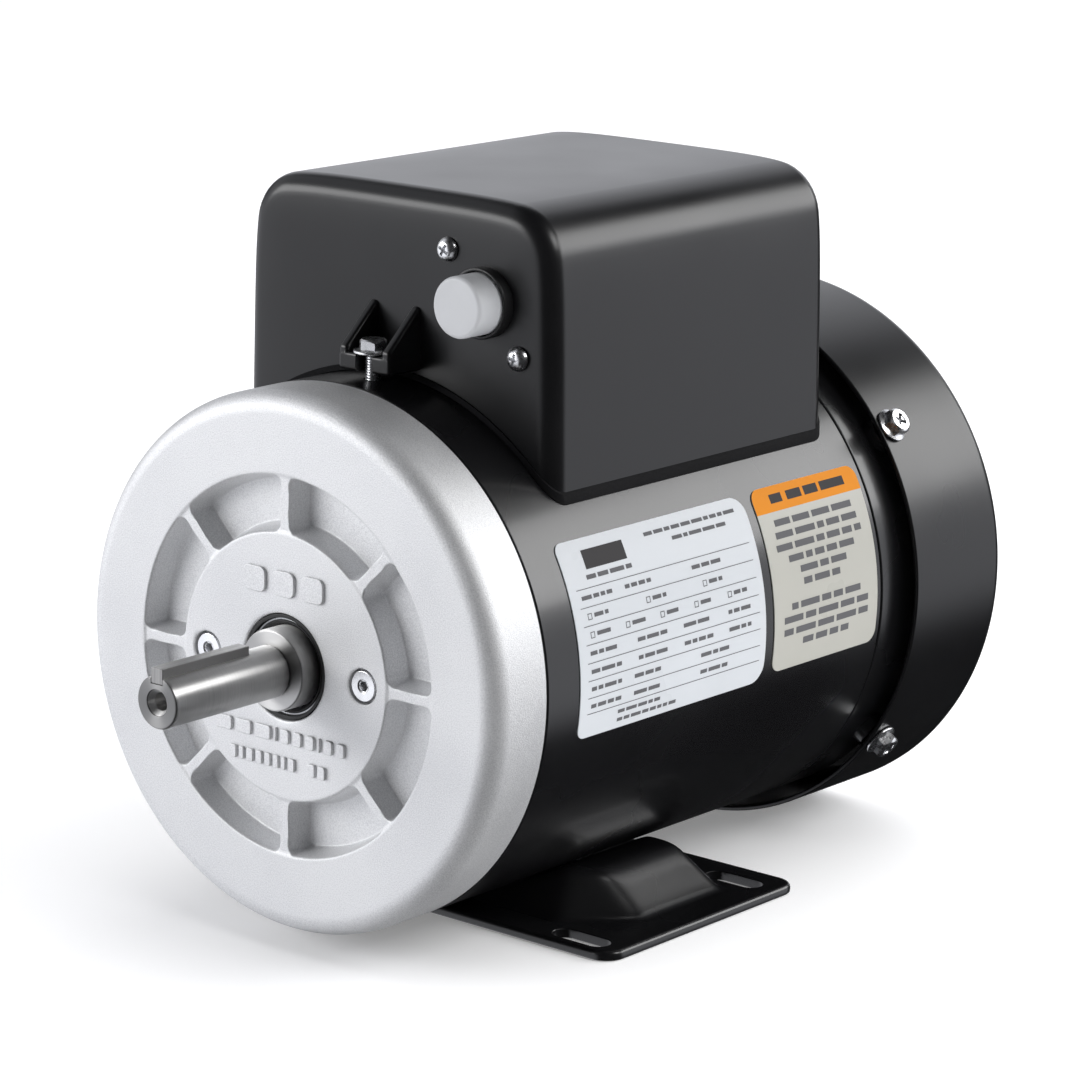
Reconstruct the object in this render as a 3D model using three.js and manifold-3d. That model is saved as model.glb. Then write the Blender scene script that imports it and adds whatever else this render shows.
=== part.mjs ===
// Single-phase, totally enclosed, fan-cooled electric motor on a rigid foot, with a capacitor box.
//
// Built in the motor's own frame: X to the right seen from the shaft end, Y along the shaft away
// from its free end, Z up, with the shaft axis on X = Z = 0 and Y = 0 on the shaft's end face.
// The outer group moves that frame to the middle of the footprint, on the floor. Millimetres.

import * as THREE from "three";
import { mergeVertices } from "three/addons/utils/BufferGeometryUtils.js";
import { ConvexGeometry } from "three/addons/geometries/ConvexGeometry.js";
import Module from "manifold-3d";

const wasm = await Module();
wasm.setup();

// ---------------------------------------------------------------- driving dimensions

const SHAFT_HEIGHT = 88.9;
const OVERALL_LENGTH = 302.5;

const SHAFT_RADIUS = 15.875 / 2;
const SHAFT_EXTENSION = 47.6;
const SHOULDER_RADIUS = 12.4;
const KEY_SIZE = 4.76;
const KEY_LENGTH = 35.8;
const KEY_BOTTOM = 5.55;
const CENTRE_HOLE_RADIUS = 3.5;
const CENTRE_HOLE_DEPTH = 22;

const FACE_Y = 52.8;
const SHIELD_RADIUS = 82.5;
const SHIELD_FILLET = 8;
const SHIELD_REAR_Y = 75.6;
const SPIGOT_RADIUS = 79.6;
const POCKET_INNER = 40.5;
const POCKET_OUTER = 58.2;
const POCKET_DEPTH = 8;
const RIB_COUNT = 8;
const RIB_WIDTH = 4;
const SEAL_RADIUS = 16.25;
const CAP_SCREW_X = 31.3;

const SHELL_RADIUS = 82.5;
const SHELL_THICKNESS = 2.5;
const SHELL_FRONT = 75.9;
const SHELL_REAR = 241.3;
const REAR_SHIELD_FRONT = 241.6;
const REAR_SHIELD_REAR = 267;

const COWL_RADIUS = 88.3;
const COWL_SHEET = 1.5;
const COWL_FRONT = 253;
const COWL_FILLET = 5;
const COWL_SCREW_Y = 259;
const COWL_SCREW_ANGLE = 36;

const CORE_FRONT = 124;
const CORE_REAR = 206;
const CORE_BORE = 47;
const ROTOR_RADIUS = 46;
const SLOT_COUNT = 12;
const SLOT_WIDTH = 8;

const FRONT_BEARING = { front: 60.4, width: 15, bore: 12.5, outer: 26, pitch: 19.25, ball: 3.97, count: 9 };
const REAR_BEARING = { front: 246.3, width: 12, bore: 8.5, outer: 20, pitch: 14.25, ball: 3.3, count: 8 };

const BOLT_CIRCLE = 72.5;
const BOLT_ANGLES = [45, 135, 225, 315];

const FOOT_HALF_WIDTH = 79.4;
const FOOT_FRONT = 110.6;
const FOOT_REAR = 206.1;
const FOOT_SHEET = 3;
const FOOT_CORNER = 7;
const FOOT_SLOT = { x: 63, length: 22, width: 8.7, front: 117.5, rear: 193.7 };

const BOX_CENTRE_X = 2.5;
const BOX_HALF_TOP = 60.4;
const BOX_HALF_BOTTOM = 62.1;
const BOX_TOP = 138.1;
const BOX_FRONT = 97.4;
const BOX_REAR = 234.4;
const BOX_WALL = 2.5;
const BOX_TOP_RADIUS = 18;
const BOX_EDGE_RADIUS = 8;
const GASKET_INNER = 82.8;
const GASKET_OUTER = 85.3;

const LUG_X = 3.4;
const LUG_HALF_WIDTH = 10.2;
const LUG_REACH = 13.9;
const LUG_BOTTOM = 84.8;
const LUG_TOP = 90.3;
const LUG_APEX = 103.7;
const LUG_BOLT_REACH = 9.6;

const BUTTON = { x: 38.5, z: 108.7, radius: 9.2, reach: 13 };
const PROTECTOR_SCREWS = [[24, 122.6], [51.4, 93.6]];
const GLAND = { y: 138, z: 100 };
const START_CAPACITOR = { x: -31, z: 108, radius: 21 };
const RUN_CAPACITOR = { x: 14, z: 107, radius: 20 };
const LEAD_HOLE_Y = 112;

const LABEL_INNER = 82.7;
const LABEL_OUTER = 83.1;

const ROUND = 36;
const BEARING_ROUND = 24;
const RING = 16;
const SMALL = 10;

// ---------------------------------------------------------------- solids

const radians = (degrees) => (degrees * Math.PI) / 180;

function solid(geometry) {
  const bare = geometry.index ? geometry.toNonIndexed() : geometry.clone();
  for (const name of Object.keys(bare.attributes)) {
    if (name !== "position") {
      bare.deleteAttribute(name);
    }
  }
  const merged = mergeVertices(bare, 1e-4);
  const index = merged.index.array;
  const triangles = [];
  for (let i = 0; i < index.length; i += 3) {
    const [a, b, c] = [index[i], index[i + 1], index[i + 2]];
    if (a !== b && b !== c && c !== a) {
      triangles.push(a, b, c);
    }
  }
  return new wasm.Manifold(
    new wasm.Mesh({
      numProp: 3,
      vertProperties: new Float32Array(merged.attributes.position.array),
      triVerts: new Uint32Array(triangles),
    }),
  );
}

function geometryOf(body) {
  const mesh = body.getMesh();
  const geometry = new THREE.BufferGeometry();
  geometry.setAttribute("position", new THREE.BufferAttribute(new Float32Array(mesh.vertProperties), 3));
  geometry.setIndex(new THREE.BufferAttribute(new Uint32Array(mesh.triVerts), 1));
  geometry.computeVertexNormals();
  return geometry;
}

// A body of revolution about Y from a closed loop of [radius, y] points.
function turned(loop, segments) {
  let area = 0;
  loop.forEach(([r, y], i) => {
    const [r2, y2] = loop[(i + 1) % loop.length];
    area += r * y2 - r2 * y;
  });
  const ordered = area > 0 ? loop : [...loop].reverse();
  const points = [...ordered, ordered[0]].map(([r, y]) => new THREE.Vector2(r, y));
  const body = solid(new THREE.LatheGeometry(points, segments));
  if (body.volume() > 0) {
    return body;
  }
  return solid(new THREE.LatheGeometry(points.reverse(), segments));
}

function tube(inner, outer, front, rear, segments) {
  return turned([[inner, front], [outer, front], [outer, rear], [inner, rear]], segments);
}

function block(x0, x1, y0, y1, z0, z1) {
  const geometry = new THREE.BoxGeometry(x1 - x0, y1 - y0, z1 - z0);
  geometry.translate((x0 + x1) / 2, (y0 + y1) / 2, (z0 + z1) / 2);
  return solid(geometry);
}

// A round bar between two points.
function bar(from, to, radius, segments = SMALL, endRadius = radius) {
  const a = new THREE.Vector3(...from);
  const b = new THREE.Vector3(...to);
  const geometry = new THREE.CylinderGeometry(endRadius, radius, a.distanceTo(b), segments);
  const direction = b.clone().sub(a).normalize();
  geometry.applyQuaternion(new THREE.Quaternion().setFromUnitVectors(new THREE.Vector3(0, 1, 0), direction));
  const middle = a.clone().add(b).multiplyScalar(0.5);
  geometry.translate(middle.x, middle.y, middle.z);
  return solid(geometry);
}

// An X-Z outline pushed along Y, its ends rounded by the bevel where one is given.
function pushed(shape, front, rear, bevel = 0, bevelSegments = 2) {
  const geometry = new THREE.ExtrudeGeometry(shape, {
    depth: rear - front - 2 * bevel,
    bevelEnabled: bevel > 0,
    bevelThickness: bevel,
    bevelSize: bevel,
    bevelOffset: -bevel,
    bevelSegments,
    curveSegments: 3,
  });
  geometry.rotateX(Math.PI / 2);
  geometry.translate(0, rear - bevel, 0);
  return solid(geometry);
}

// An X-Y outline raised along Z.
function raised(shape, bottom, top) {
  const settings = { depth: top - bottom, bevelEnabled: false, curveSegments: 4 };
  const geometry = new THREE.ExtrudeGeometry(shape, settings);
  geometry.translate(0, 0, bottom);
  return solid(geometry);
}

function outline(points) {
  return new THREE.Shape(points.map(([x, y]) => new THREE.Vector2(x, y)));
}

function arc(cx, cy, radius, start, end, steps) {
  const points = [];
  for (let i = 0; i <= steps; i += 1) {
    const angle = radians(start + ((end - start) * i) / steps);
    points.push([cx + radius * Math.cos(angle), cy + radius * Math.sin(angle)]);
  }
  return points;
}

function sector(inner, outer, start, end, steps) {
  return outline([...arc(0, 0, outer, start, end, steps), ...arc(0, 0, inner, end, start, steps)]);
}

function aroundAxis(body, degrees) {
  return body.rotate([0, degrees, 0]);
}

function joined(bodies) {
  return bodies.reduce((sum, body) => sum.add(body));
}

function cut(body, tools) {
  return tools.reduce((rest, tool) => rest.subtract(tool), body);
}

// ---------------------------------------------------------------- materials and the scene

const motor = new THREE.Group();
motor.position.set(0, -OVERALL_LENGTH / 2, SHAFT_HEIGHT);

const FINISHES = {
  cast_aluminium: [0xc9cacc, 0.55, 0.75],
  black_paint: [0x121214, 0.28, 0.1],
  black_steel: [0x101012, 0.25, 0.2],
  ground_steel: [0xa9a7a3, 0.3, 1],
  key_steel: [0x8f8d8a, 0.35, 1],
  zinc: [0xc6c8cb, 0.25, 1],
  bearing_steel: [0xb4b6b8, 0.18, 1],
  brass_cage: [0xb79a5a, 0.35, 1],
  rubber: [0x0b0b0c, 0.75, 0],
  foam: [0x161617, 0.9, 0],
  lamination: [0x55585c, 0.5, 0.9],
  copper: [0xa65f2e, 0.35, 0.9],
  rotor_aluminium: [0xb5b7ba, 0.4, 1],
  phenolic: [0x3a2417, 0.6, 0],
  spring_steel: [0x8a8c8e, 0.3, 1],
  white_plastic: [0xdfe0e2, 0.5, 0],
  grey_plastic: [0x4a4c50, 0.6, 0],
  black_plastic: [0x171718, 0.5, 0],
  label_silver: [0xd9dde2, 0.4, 0.1],
  label_cream: [0xe6e2cf, 0.45, 0],
  brass: [0xc3a055, 0.3, 1],
  capacitor_case: [0x1a1b1e, 0.45, 0],
  capacitor_can: [0xbfc1c4, 0.3, 1],
};

function add(name, finish, body, place = null) {
  const [color, roughness, metalness] = FINISHES[finish];
  const material = new THREE.MeshStandardMaterial({ name: finish, color, roughness, metalness });
  const mesh = new THREE.Mesh(geometryOf(body), material);
  mesh.name = name;
  if (place) {
    mesh.position.set(...place.at);
    mesh.rotation.set(...(place.turn ?? [0, 0, 0]));
  }
  motor.add(mesh);
  return mesh;
}

// ---------------------------------------------------------------- shaft and key

const shaftLoop = [
  [0, 0],
  [SHAFT_RADIUS - 0.8, 0],
  [SHAFT_RADIUS, 0.8],
  [SHAFT_RADIUS, SHAFT_EXTENSION],
  [SHOULDER_RADIUS, SHAFT_EXTENSION],
  [SHOULDER_RADIUS, 75.7],
  [14, 75.7],
  [14, CORE_REAR + 5],
  [11, CORE_REAR + 5],
  [11, 246.1],
  [REAR_BEARING.bore - 0.1, 246.1],
  [REAR_BEARING.bore - 0.1, 292],
  [0, 292],
];
const centreHole = turned(
  [[0, -1], [CENTRE_HOLE_RADIUS, -1], [CENTRE_HOLE_RADIUS, 20], [0, CENTRE_HOLE_DEPTH]],
  SMALL,
);
const keyway = block(-KEY_SIZE / 2 - 0.1, KEY_SIZE / 2 + 0.1, -1, KEY_LENGTH + 0.2, KEY_BOTTOM - 0.2, 12);
add("shaft", "ground_steel", cut(turned(shaftLoop, BEARING_ROUND), [centreHole, keyway]));
const key = block(-KEY_SIZE / 2, KEY_SIZE / 2, 0, KEY_LENGTH, KEY_BOTTOM, KEY_BOTTOM + KEY_SIZE);
add("shaft_key", "key_steel", key);

// ---------------------------------------------------------------- ball bearings

function raceLoops(bearing) {
  const { front, width, bore, outer, pitch, ball } = bearing;
  const middle = front + width / 2;
  const rear = front + width;
  const shoulder = ball * 0.68;
  return {
    outer: [
      [outer, front],
      [outer, rear],
      [pitch + shoulder, rear],
      [pitch + ball + 0.4, middle + 1],
      [pitch + ball + 0.4, middle - 1],
      [pitch + shoulder, front],
    ],
    inner: [
      [bore, front],
      [bore, rear],
      [pitch - shoulder, rear],
      [pitch - ball - 0.2, middle + 1],
      [pitch - ball - 0.2, middle - 1],
      [pitch - shoulder, front],
    ],
  };
}

// The balls of one bearing with the pressed cage that carries them.
function ballSet({ front, width, pitch, ball, count }) {
  const middle = front + width / 2;
  const cage = tube(pitch - 1, pitch + 1, middle - 1.4, middle + 1.4, count * 2);
  const balls = [];
  for (let i = 0; i < count; i += 1) {
    const angle = radians((360 * i) / count);
    const geometry = new THREE.SphereGeometry(ball, 6, 4);
    geometry.translate(pitch * Math.sin(angle), middle, pitch * Math.cos(angle));
    balls.push(solid(geometry));
  }
  return joined([cage, ...balls]);
}

for (const [prefix, bearing] of [["drive_bearing", FRONT_BEARING], ["rear_bearing", REAR_BEARING]]) {
  const loops = raceLoops(bearing);
  add(`${prefix}_outer_race`, "bearing_steel", turned(loops.outer, BEARING_ROUND));
  add(`${prefix}_inner_race`, "bearing_steel", turned(loops.inner, BEARING_ROUND));
  add(`${prefix}_balls`, "brass_cage", ballSet(bearing));
}

// ---------------------------------------------------------------- drive end shield

const filletCentre = [SHIELD_RADIUS - SHIELD_FILLET, FACE_Y + SHIELD_FILLET];
const shieldLoop = [
  [SEAL_RADIUS, FACE_Y],
  ...arc(...filletCentre, SHIELD_FILLET, -90, 0, 3),
  [SHIELD_RADIUS, SHIELD_REAR_Y],
  [SPIGOT_RADIUS, SHIELD_REAR_Y],
  [SPIGOT_RADIUS, 81],
  [75, 81],
  [75, 65],
  [37, 65],
  [37, 76],
  [FRONT_BEARING.outer + 0.15, 76],
  [FRONT_BEARING.outer + 0.15, 60.2],
  [14.5, 60.2],
  [14.5, 58.2],
  [SEAL_RADIUS, 58.2],
];

// One pocket of the face: a ring sector whose straight sides leave a parallel rib to each side.
function pocketTool(degrees) {
  const half = 180 / RIB_COUNT;
  const inset = (radius) => (Math.asin(RIB_WIDTH / 2 / radius) * 180) / Math.PI;
  const outer = arc(0, 0, POCKET_OUTER, 90 - half + inset(POCKET_OUTER), 90 + half - inset(POCKET_OUTER), 4);
  const inner = arc(0, 0, POCKET_INNER, 90 + half - inset(POCKET_INNER), 90 - half + inset(POCKET_INNER), 3);
  return aroundAxis(pushed(outline([...outer, ...inner]), FACE_Y - 2, FACE_Y + POCKET_DEPTH), degrees);
}

const shieldTools = [];
for (let i = 0; i < RIB_COUNT; i += 1) {
  shieldTools.push(pocketTool((360 * (i + 0.5)) / RIB_COUNT));
}
for (const side of [-1, 1]) {
  shieldTools.push(bar([side * CAP_SCREW_X, FACE_Y - 1, 0], [side * CAP_SCREW_X, FACE_Y + 3.2, 0], 5.3));
  shieldTools.push(bar([side * CAP_SCREW_X, FACE_Y + 2, 0], [side * CAP_SCREW_X, 78, 0], 2.6, 12));
}
const shieldBosses = [];
for (const angle of BOLT_ANGLES) {
  const [x, z] = [BOLT_CIRCLE * Math.cos(radians(angle)), BOLT_CIRCLE * Math.sin(radians(angle))];
  shieldBosses.push(bar([x, 64, z], [x, 80.9, z], 6, 8));
  shieldTools.push(bar([x, 67, z], [x, 82, z], 3.5, 8));
}
const shieldSolid = joined([turned(shieldLoop, ROUND), ...shieldBosses]);
add("drive_end_shield", "cast_aluminium", cut(shieldSolid, shieldTools));

const sealLoop = [
  [SEAL_RADIUS - 0.25, 53.2],
  [SEAL_RADIUS - 0.25, 57.9],
  [13.6, 57.9],
  [12.9, 55],
  [14.2, 53.2],
];
add("shaft_seal", "rubber", turned(sealLoop, RING));

const capLoop = [[15, 76.4], [34, 76.4], [34, 79], [24, 81.5], [15, 81.5]];
const capBosses = [-1, 1].map((side) => bar([side * CAP_SCREW_X, 76.4, 0], [side * CAP_SCREW_X, 82.5, 0], 5.2));
const capHoles = [-1, 1].map((side) => bar([side * CAP_SCREW_X, 75, 0], [side * CAP_SCREW_X, 84, 0], 2.6, 12));
add("bearing_cap", "cast_aluminium", cut(joined([turned(capLoop, RING), ...capBosses]), capHoles));

// A flat-headed socket screw: head at the local origin facing -Y, shank along +Y.
const flatScrew = cut(
  turned([[0, 0], [4.6, 0], [4.6, 1], [2.3, 3], [2.3, 28], [0, 28]], SMALL),
  [turned([[0, -1], [1.9, -1], [1.9, 1.9], [0, 1.9]], 6)],
);
for (const [name, side] of [["left", -1], ["right", 1]]) {
  add(`bearing_cap_screw_${name}`, "zinc", flatScrew, { at: [side * CAP_SCREW_X, FACE_Y + 0.1, 0] });
}

// ---------------------------------------------------------------- shell

const shellTube = tube(SHELL_RADIUS - SHELL_THICKNESS, SHELL_RADIUS, SHELL_FRONT, SHELL_REAR, ROUND);
const frontBoltY = BOX_FRONT - LUG_BOLT_REACH;
const rearBoltY = BOX_REAR + LUG_BOLT_REACH;
add(
  "stator_shell",
  "black_paint",
  cut(shellTube, [
    bar([0, LEAD_HOLE_Y, 70], [0, LEAD_HOLE_Y, 90], 7.8),
    bar([LUG_X, frontBoltY, 70], [LUG_X, frontBoltY, 90], 2.9, 12),
  ]),
);
add(
  "lead_grommet",
  "rubber",
  turned(
    [[5, 76], [9.3, 76], [9.3, 78.7], [7.2, 78.7], [7.2, 82.8], [9.5, 82.8], [9.5, 85.5], [5, 85.5]],
    SMALL,
  ),
  { at: [0, LEAD_HOLE_Y, 0], turn: [Math.PI / 2, 0, 0] },
);

// ---------------------------------------------------------------- stator

const slotTools = [];
const mainBars = [];
const startBars = [];
for (let i = 0; i < SLOT_COUNT; i += 1) {
  const angle = (360 * i) / SLOT_COUNT;
  const half = SLOT_WIDTH / 2;
  slotTools.push(aroundAxis(block(-half, half, CORE_FRONT - 1, CORE_REAR + 1, 50, 68), angle));
  mainBars.push(aroundAxis(block(-half + 0.4, half - 0.4, CORE_FRONT - 2, CORE_REAR + 2, 59.8, 67.5), angle));
  startBars.push(aroundAxis(block(-half + 0.4, half - 0.4, CORE_FRONT - 2, CORE_REAR + 2, 50.6, 58.6), angle));
}
const notchTools = BOLT_ANGLES.map((angle) =>
  aroundAxis(block(-4, 4, CORE_FRONT - 1, CORE_REAR + 1, 68.8, 84), angle),
);
const core = tube(CORE_BORE, 79.6, CORE_FRONT, CORE_REAR, ROUND);
add("stator_core", "lamination", cut(core, [...slotTools, ...notchTools]));

// A bundle of end turns: a ring with rounded outer corners.
function endTurns(inner, outer, front, rear) {
  const soft = 2.5;
  return turned(
    [
      [inner, front],
      [outer - soft, front],
      [outer, front + soft],
      [outer, rear - soft],
      [outer - soft, rear],
      [inner, rear],
    ],
    RING,
  );
}

const mainHeads = [endTurns(60.4, 69, 103, 123.4), endTurns(60.4, 69, 206.6, 228)];
add("main_winding", "copper", joined([...mainHeads, ...mainBars]));
const startHeads = [endTurns(50.2, 58.9, 106, 123.4), endTurns(50.2, 58.9, 206.6, 225)];
add("start_winding", "copper", joined([...startHeads, ...startBars]));

// ---------------------------------------------------------------- rotor

const rotorTools = [];
const cageBars = [];
for (let i = 0; i < SLOT_COUNT; i += 1) {
  const angle = (360 * (i + 0.5)) / SLOT_COUNT;
  rotorTools.push(aroundAxis(block(-3, 3, CORE_FRONT - 1, CORE_REAR + 1, 34.5, 43.5), angle));
  cageBars.push(aroundAxis(block(-2.8, 2.8, CORE_FRONT - 2, CORE_REAR + 2, 34.8, 43.2), angle));
}
const rotorStack = tube(14.4, ROTOR_RADIUS, CORE_FRONT, CORE_REAR, BEARING_ROUND);
add("rotor_core", "lamination", cut(rotorStack, rotorTools));
const cageRings = [tube(31, 45, 115, CORE_FRONT - 0.3, RING), tube(31, 45, CORE_REAR + 0.3, 214, RING)];
add("rotor_cage", "rotor_aluminium", joined([...cageRings, ...cageBars]));

// ---------------------------------------------------------------- centrifugal switch

const GOVERNOR = { plate: 216, pivotX: 26, pivotY: 229, lugZ: 9.6 };
const governorLugs = [];
for (const side of [-1, 1]) {
  for (const end of [-1, 1]) {
    const z = end * (GOVERNOR.lugZ + 1);
    const x = side * GOVERNOR.pivotX;
    governorLugs.push(block(x - 2.5, x + 2.5, 217, 231.5, z - 1, z + 1));
  }
}
add(
  "governor_plate",
  "spring_steel",
  joined([tube(11.3, 31, GOVERNOR.plate, 218, RING), tube(11.3, 14.5, 217, 222, RING), ...governorLugs]),
);
for (const [name, side] of [["right", 1], ["left", -1]]) {
  const x = side * GOVERNOR.pivotX;
  const across = (a, b) => (side > 0 ? [a, b] : [-b, -a]);
  const mass = block(...across(20.5, 30), 219.8, 226.5, -9, 9);
  const web = block(...across(24.3, 27.7), 226, 231, -9, 9);
  const finger = block(...across(14.3, 26), 228.2, 230, -4, 4);
  const pin = bar([x, 229, -9.3], [x, 229, 9.3], 1.6, 10);
  add(`governor_weight_${name}`, "zinc", joined([mass, web, finger, pin]));
}
add(
  "governor_collar",
  "phenolic",
  turned(
    [[11.5, 226.4], [19, 226.4], [19, 227.8], [13.6, 227.8], [13.6, 236], [21, 236], [21, 238], [11.5, 238]],
    RING,
  ),
);

const switchPosts = [-1, 1].map((side) => bar([side * 33, 242, 0], [side * 33, 250.6, 0], 3.5, 12));
const hingeLugs = [-1, 1].map((side) => block(side * 5.4 - 1, side * 5.4 + 1, 237.5, 243, 30, 35));
const switchPlate = cut(tube(15, 38, 243, 245, RING), [block(-3.6, 3.6, 242, 246, 14, 30)]);
add("switch_plate", "phenolic", joined([switchPlate, ...switchPosts, ...hingeLugs]));
const armBlade = block(-3, 3, 238.4, 239.4, 14, 33.5);
const armPin = bar([-4, 239.2, 32.5], [4, 239.2, 32.5], 1.1, 10);
const armContact = bar([0, 239, 25], [0, 242.2, 25], 1.8, 10);
add("switch_arm", "brass", joined([armBlade, armPin, armContact]));

// ---------------------------------------------------------------- rear end shield and cowl

const rearLoop = [
  [SPIGOT_RADIUS, 236],
  [SPIGOT_RADIUS, REAR_SHIELD_FRONT],
  [SHIELD_RADIUS, REAR_SHIELD_FRONT],
  [SHIELD_RADIUS, REAR_SHIELD_REAR],
  [76, REAR_SHIELD_REAR],
  [76, 256],
  [26, 256],
  [26, 264],
  [9.2, 264],
  [9.2, 261],
  [REAR_BEARING.outer + 0.15, 261],
  [REAR_BEARING.outer + 0.15, 246],
  [26, 246],
  [26, 251],
  [75.5, 251],
  [75.5, 236],
];

function radialPoint(radius, y, degrees) {
  return [radius * Math.cos(radians(degrees)), y, radius * Math.sin(radians(degrees))];
}

const cowlAngles = [1, -1, 1, -1].map((side, i) => (i < 2 ? 0 : 180) + side * COWL_SCREW_ANGLE);
const rearTools = [bar([LUG_X, rearBoltY, 70], [LUG_X, rearBoltY, 90], 2.9, 12)];
const rearBosses = [];
for (const angle of cowlAngles) {
  rearBosses.push(bar(radialPoint(72, COWL_SCREW_Y, angle), radialPoint(86, COWL_SCREW_Y, angle), 6, 8));
  rearTools.push(bar(radialPoint(69, COWL_SCREW_Y, angle), radialPoint(90, COWL_SCREW_Y, angle), 2.8, 8));
}
for (const angle of BOLT_ANGLES) {
  const [x, , z] = radialPoint(BOLT_CIRCLE, 0, angle);
  rearTools.push(bar([x, 230, z], [x, 262, z], 3.5, 8), bar([x, 256, z], [x, 270, z], 6.3, 8));
}
add("rear_end_shield", "black_paint", cut(joined([turned(rearLoop, ROUND), ...rearBosses]), rearTools));

// The preload spring behind the rear bearing: a flat strip ring with three waves.
function waveSpring() {
  const path = new THREE.CatmullRomCurve3(
    Array.from({ length: 24 }, (_, i) => {
      const angle = (2 * Math.PI * i) / 24;
      return new THREE.Vector3(17 * Math.sin(angle), 259.7 + 0.5 * Math.sin(3 * angle), 17 * Math.cos(angle));
    }),
    true,
  );
  const section = outline([[-1.8, -0.25], [1.8, -0.25], [1.8, 0.25], [-1.8, 0.25]]);
  return solid(new THREE.ExtrudeGeometry(section, { steps: 18, extrudePath: path }));
}
add("wave_spring", "spring_steel", waveSpring());

// A hexagon-headed through bolt: underside of the head on local Y = 0, shank along -Y.
const throughBolt = turned([[0, 0], [5.4, 0], [5.4, 4], [0, 4]], 6).add(bar([0, 0.5, 0], [0, -188, 0], 3, 8));
BOLT_ANGLES.forEach((angle, i) => {
  add(`through_bolt_${i + 1}`, "zinc", throughBolt, { at: radialPoint(BOLT_CIRCLE, 256.3, angle) });
});

const fanBlades = [];
for (let i = 0; i < 8; i += 1) {
  fanBlades.push(aroundAxis(block(-1, 1, 275, 292, 20, 74), (360 * i) / 8));
}
const fanHub = turned(
  [[8.8, 268.5], [14, 268.5], [14, 274], [76, 274], [76, 276], [14, 276], [14, 290], [8.8, 290]],
  RING,
);
add("fan", "black_plastic", joined([fanHub, ...fanBlades]));
add("fan_clip", "spring_steel", cut(tube(9, 12, 290.4, 291.6, SMALL), [block(-1.6, 1.6, 289, 293, 0, 12)]));

const cowlInner = COWL_RADIUS - COWL_SHEET;
const cowlRear = OVERALL_LENGTH;
const cowlLoop = [
  [cowlInner, COWL_FRONT],
  [COWL_RADIUS, COWL_FRONT],
  ...arc(COWL_RADIUS - COWL_FILLET, cowlRear - COWL_FILLET, COWL_FILLET, 0, 90, 2),
  [0, cowlRear],
  [0, cowlRear - COWL_SHEET],
  [COWL_RADIUS - COWL_FILLET, cowlRear - COWL_SHEET],
  [cowlInner, cowlRear - COWL_FILLET],
];
const cowlTools = cowlAngles.map((angle) =>
  bar(radialPoint(82, COWL_SCREW_Y, angle), radialPoint(92, COWL_SCREW_Y, angle), 2.9, 12),
);
for (const [radius, count, length] of [[32, 10, 20], [62, 20, 26]]) {
  for (let i = 0; i < count; i += 1) {
    const slot = block(-2.2, 2.2, cowlRear - 4, cowlRear + 2, radius - length / 2, radius + length / 2);
    cowlTools.push(aroundAxis(slot, (360 * i) / count));
  }
}
add("fan_cover", "black_paint", cut(turned(cowlLoop, ROUND), cowlTools));

// A washer-headed hexagon screw: underside of the washer on local Y = 0, shank along -Y.
const cowlScrew = cut(
  joined([
    turned([[0, 0], [5.6, 0], [5.6, 1.3], [0, 1.3]], SMALL),
    turned([[0, 1], [4.3, 1], [4.3, 4.6], [0, 4.6]], 6),
    bar([0, 0.5, 0], [0, -13, 0], 2.3, 8),
  ]),
  [block(-2.4, 2.4, 2.8, 6, -0.5, 0.5), block(-0.5, 0.5, 2.8, 6, -2.4, 2.4)],
);
["upper_right", "lower_right", "lower_left", "upper_left"].forEach((place, i) => {
  const angle = { upper_right: 36, lower_right: -36, lower_left: 216, upper_left: 144 }[place];
  const at = radialPoint(COWL_RADIUS + 0.15, COWL_SCREW_Y, angle);
  add(`cowl_screw_${place}`, "zinc", cowlScrew, { at, turn: [0, -radians(angle), -Math.PI / 2] });
});

// ---------------------------------------------------------------- foot

const footShape = new THREE.Shape();
const [footX, footC] = [FOOT_HALF_WIDTH, FOOT_CORNER];
footShape.moveTo(-footX + footC, FOOT_FRONT);
footShape.lineTo(footX - footC, FOOT_FRONT);
footShape.absarc(footX - footC, FOOT_FRONT + footC, footC, -Math.PI / 2, 0, false);
footShape.lineTo(footX, FOOT_REAR - footC);
footShape.absarc(footX - footC, FOOT_REAR - footC, footC, 0, Math.PI / 2, false);
footShape.lineTo(-footX + footC, FOOT_REAR);
footShape.absarc(-footX + footC, FOOT_REAR - footC, footC, Math.PI / 2, Math.PI, false);
footShape.lineTo(-footX, FOOT_FRONT + footC);
footShape.absarc(-footX + footC, FOOT_FRONT + footC, footC, Math.PI, 1.5 * Math.PI, false);

// The pressed-up saddle: an eight-sided frustum on the plate that rises to meet the shell.
function saddle(inset, bottom) {
  const top = -66 - inset;
  const rise = top + SHAFT_HEIGHT - FOOT_SHEET;
  const points = [];
  for (const sx of [-1, 1]) {
    for (const [x, y, slopeX, slopeY] of [
      [66, 141, 1.9, 0],
      [48, 122.5, 1.3, 0.5],
      [66, 176, 1.9, 0],
      [48, 194, 1.3, 0.5],
    ]) {
      const toMiddle = y < 158 ? 1 : -1;
      const bx = x - inset * 1.2;
      const by = y + toMiddle * inset * 1.2;
      points.push(new THREE.Vector3(sx * bx, by, bottom));
      points.push(new THREE.Vector3(sx * bx, by, -SHAFT_HEIGHT + FOOT_SHEET - inset));
      points.push(new THREE.Vector3(sx * (bx - slopeX * rise), by + toMiddle * slopeY * rise, top));
    }
  }
  return solid(new ConvexGeometry(points));
}

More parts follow.
